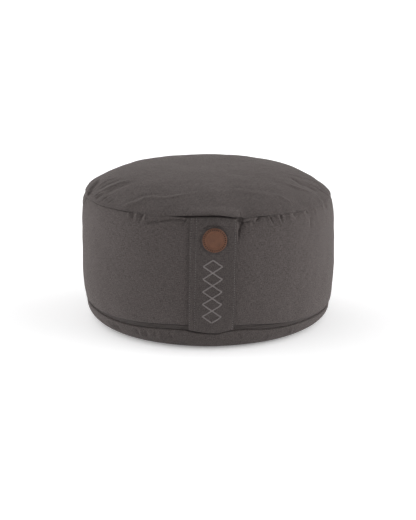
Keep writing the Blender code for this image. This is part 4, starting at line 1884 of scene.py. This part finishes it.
@dataclass
class LeatherDisc:
    """Round leather patch, bent to the strap and sewn on near its rim."""

    diameter: float = 0.0268
    thickness: float = 0.0015
    azimuth: float = 2.8            # degrees
    height: float = 0.1295
    back: float = 0.0024            # its back face out from the wall
    sides: int = 96
    stitches: int = 32
    stitch_radius: float = 0.0116
    ring_radius: float = 0.0088     # of the ring pressed into its face
    rim_round: float = 0.0007       # how far in its rim is rounded

    def bend(self, points: Array) -> Array:
        """Wrap flat points, x across, z up and y outwards, onto the strap.

        Args:
            points: Points about the disc's middle.

        Returns:
            Points in the cushion's frame.
        """
        height = self.height + points[:, 2]
        azimuth = self.azimuth + np.degrees(points[:, 0] / OUTLINE.radius)
        radius = OUTLINE.wall_radius(azimuth, height) + self.back + points[:, 1]
        return polar(azimuth, radius, height)

    def relief(self, reach: Array) -> Array:
        """How far the face is pressed in, at a distance from the middle.

        Args:
            reach: Distance from the disc's middle.

        Returns:
            Movement outwards, so none is positive.
        """
        groove = 0.00012 * bell(reach - self.stitch_radius, 0.0006)
        ring = 0.00034 * bell(reach - self.ring_radius, 0.00042)
        dished = 0.00018 * (1.0 - (reach / (self.diameter / 2)) ** 2)
        return -(groove + ring + dished)

    def build(self) -> bpy.types.Object:
        """Cut the disc, give it rings by insets, round its rim and press its face.

        Returns:
            The disc.
        """
        bpy.ops.object.select_all(action="DESELECT")
        bpy.ops.mesh.primitive_circle_add(
            vertices=self.sides, radius=self.diameter / 2, fill_type="NGON",
            rotation=(math.pi / 2, 0.0, 0.0),
        )
        piece = Bench.take("leather_disc")
        bpy.ops.object.transform_apply(location=True, rotation=True, scale=True)
        bpy.ops.object.mode_set(mode="EDIT")
        bpy.ops.mesh.select_all(action="SELECT")
        bpy.ops.mesh.extrude_region_move(
            TRANSFORM_OT_translate={"value": (0.0, self.thickness, 0.0)}
        )
        for inset in [0.00025, 0.00035] + [0.00041] * 26:
            bpy.ops.mesh.inset(thickness=inset, depth=0.0)
        bpy.ops.mesh.poke()
        bpy.ops.object.mode_set(mode="OBJECT")
        points = Bench.points(piece)
        reach = np.hypot(points[:, 0], points[:, 2])
        rim = ease((reach - self.diameter / 2 + self.rim_round) / self.rim_round)
        face = points[:, 1] > self.thickness * 0.5
        points[:, 1] += np.where(face, self.relief(reach) - 0.00035 * rim ** 2, 0.0)
        Bench.move(piece, self.bend(points))
        Bench.close(piece)
        Bench.shade(piece, Shading.BY_ANGLE)
        return piece

    def build_stitches(self) -> bpy.types.Object:
        """Short dark stitches that point at the disc's middle.

        Returns:
            The ring of stitches as one piece.
        """
        stitch = Stitch(0.00210, 0.00098, 0.00096)
        sunk = (0.0, self.thickness - 0.00022, 0.0)
        places = []
        for index in range(self.stitches):
            angle = 2 * math.pi * index / self.stitches
            ray = np.array([math.cos(angle), 0.0, math.sin(angle)])
            near, middle, far = self.bend(np.array([
                ray * (self.stitch_radius + step) + sunk for step in (-0.0006, 0.0, 0.0006)
            ]))
            outward = middle * (1.0, 1.0, 0.0)
            places.append(stitch_place(middle, far - near, outward))
        return Bench.copies(stitch.model(), places, "disc_stitches")

    def dress(self, disc: bpy.types.Object, stitches: bpy.types.Object) -> None:
        """Give the disc and its stitches their finishes and their place.

        Args:
            disc: The disc.
            stitches: Its ring of stitches.
        """
        centre = self.bend(np.array([[0.0, self.thickness, 0.0]]))[0]
        leather = LeatherFinish(tuple(float(c) for c in centre), self.diameter / 2)
        Bench.hand_over(disc, ["leather_patch"], "leather", leather.material())
        Bench.hand_over(stitches, [], "leather", RIM_THREAD.material())


# Studio.

@dataclass
class Studio:
    """Pale floor, soft light all round and the camera."""

    floor_size: float = 14.0
    target_height: float = 0.093
    distance: float = 1.80
    elevation: float = 15.08        # degrees
    aim_drop: float = 0.886         # degrees that the camera looks below the target
    lens: float = 104.3
    right_box: float = 5.95         # large soft boxes at both sides
    left_box: float = 4.20
    back_box: float = 2.90          # and one behind on the left
    overhead: float = 0.43
    from_behind: float = 0.51
    floor_colour: Colour = (0.93, 0.93, 0.935)
    floor_glow: float = 0.330
    glow_band: tuple[float, float] = (0.106, 0.148)    # from the axis, where it comes in

    def lay_floor(self) -> None:
        """A wide plain floor with painted light: it glows, except close round the cushion."""
        bpy.ops.object.select_all(action="DESELECT")
        bpy.ops.mesh.primitive_grid_add(x_subdivisions=8, y_subdivisions=8, size=self.floor_size)
        floor = Bench.take("studio_floor")
        graph = Graph("studio_floor")
        place = graph.on_object()
        tone = 1.0 + (graph.noise(place, 3.0) - 0.5) * 0.01
        reach = graph.add("VectorMath", {"operation": "LENGTH"}, {0: place}, "Value")
        glow = graph.toned((1.0, 1.0, 1.0), reach.between(*self.glow_band))
        floor.data.materials.append(graph.finish(
            Base_Color=graph.toned(self.floor_colour, tone), Roughness=0.9,
            Specular_IOR_Level=0.1, Emission_Color=glow, Emission_Strength=self.floor_glow,
        ))

    def light(self) -> None:
        """Soft light from both sides, behind and above, and none from the camera's side."""
        world = bpy.data.worlds.new("studio_light")
        bpy.context.scene.world = world
        world.use_nodes = True
        graph = Graph(world)
        direction = graph.add("TexCoord", output="Generated")
        x, y, z = (graph.axis(direction, name) for name in "XYZ")
        right, left = x.work("MAXIMUM", x, 0.0), x.work("MAXIMUM", x * -1.0, 0.0)
        behind, above = y.work("MAXIMUM", y, 0.0), z.work("MAXIMUM", z, 0.0)
        strength = (
            right ** 4.0 * self.right_box + left ** 4.0 * self.left_box
            + left * behind * self.back_box + behind * self.from_behind
            + above ** 3.0 * self.overhead
        )
        graph.feed(graph.nodes["Background"].inputs["Color"], strength)

    def set_camera(self) -> None:
        """Camera at the photograph's viewing angle."""
        rise = math.radians(self.elevation)
        location = (
            0.0,
            -self.distance * math.cos(rise),
            self.target_height + self.distance * math.sin(rise),
        )
        tilt = math.radians(90.0 - self.elevation - self.aim_drop)
        bpy.ops.object.camera_add(location=location, rotation=(tilt, 0.0, 0.0))
        camera = bpy.context.active_object
        camera.name = "studio_camera"
        camera.data.sensor_width = 36.0
        camera.data.lens = self.lens
        camera.data.dof.use_dof = False
        bpy.context.scene.camera = camera

    def set_up(self) -> None:
        """Everything that isn't part of the object."""
        self.lay_floor()
        self.light()
        self.set_camera()
        bpy.context.scene.view_settings.view_transform = "Standard"


def main() -> None:
    """Build every sub-assembly in order."""
    logging.basicConfig(level=logging.INFO, format="%(name)s %(message)s")
    bpy.ops.object.select_all(action="DESELECT")
    body = CushionBody()
    body.dress(body.build())
    closed_zip = ClosedZip()
    closed_zip.dress(closed_zip.build())
    strap = CarryStrap()
    strap.dress(strap.build(), [strap.build_stitches(line) for line in strap.stitch_lines])
    band = LozengeBand(strap)
    band.dress(band.build())
    disc = LeatherDisc()
    disc.dress(disc.build(), disc.build_stitches())
    Studio().set_up()


if __name__ == "__main__":
    main()
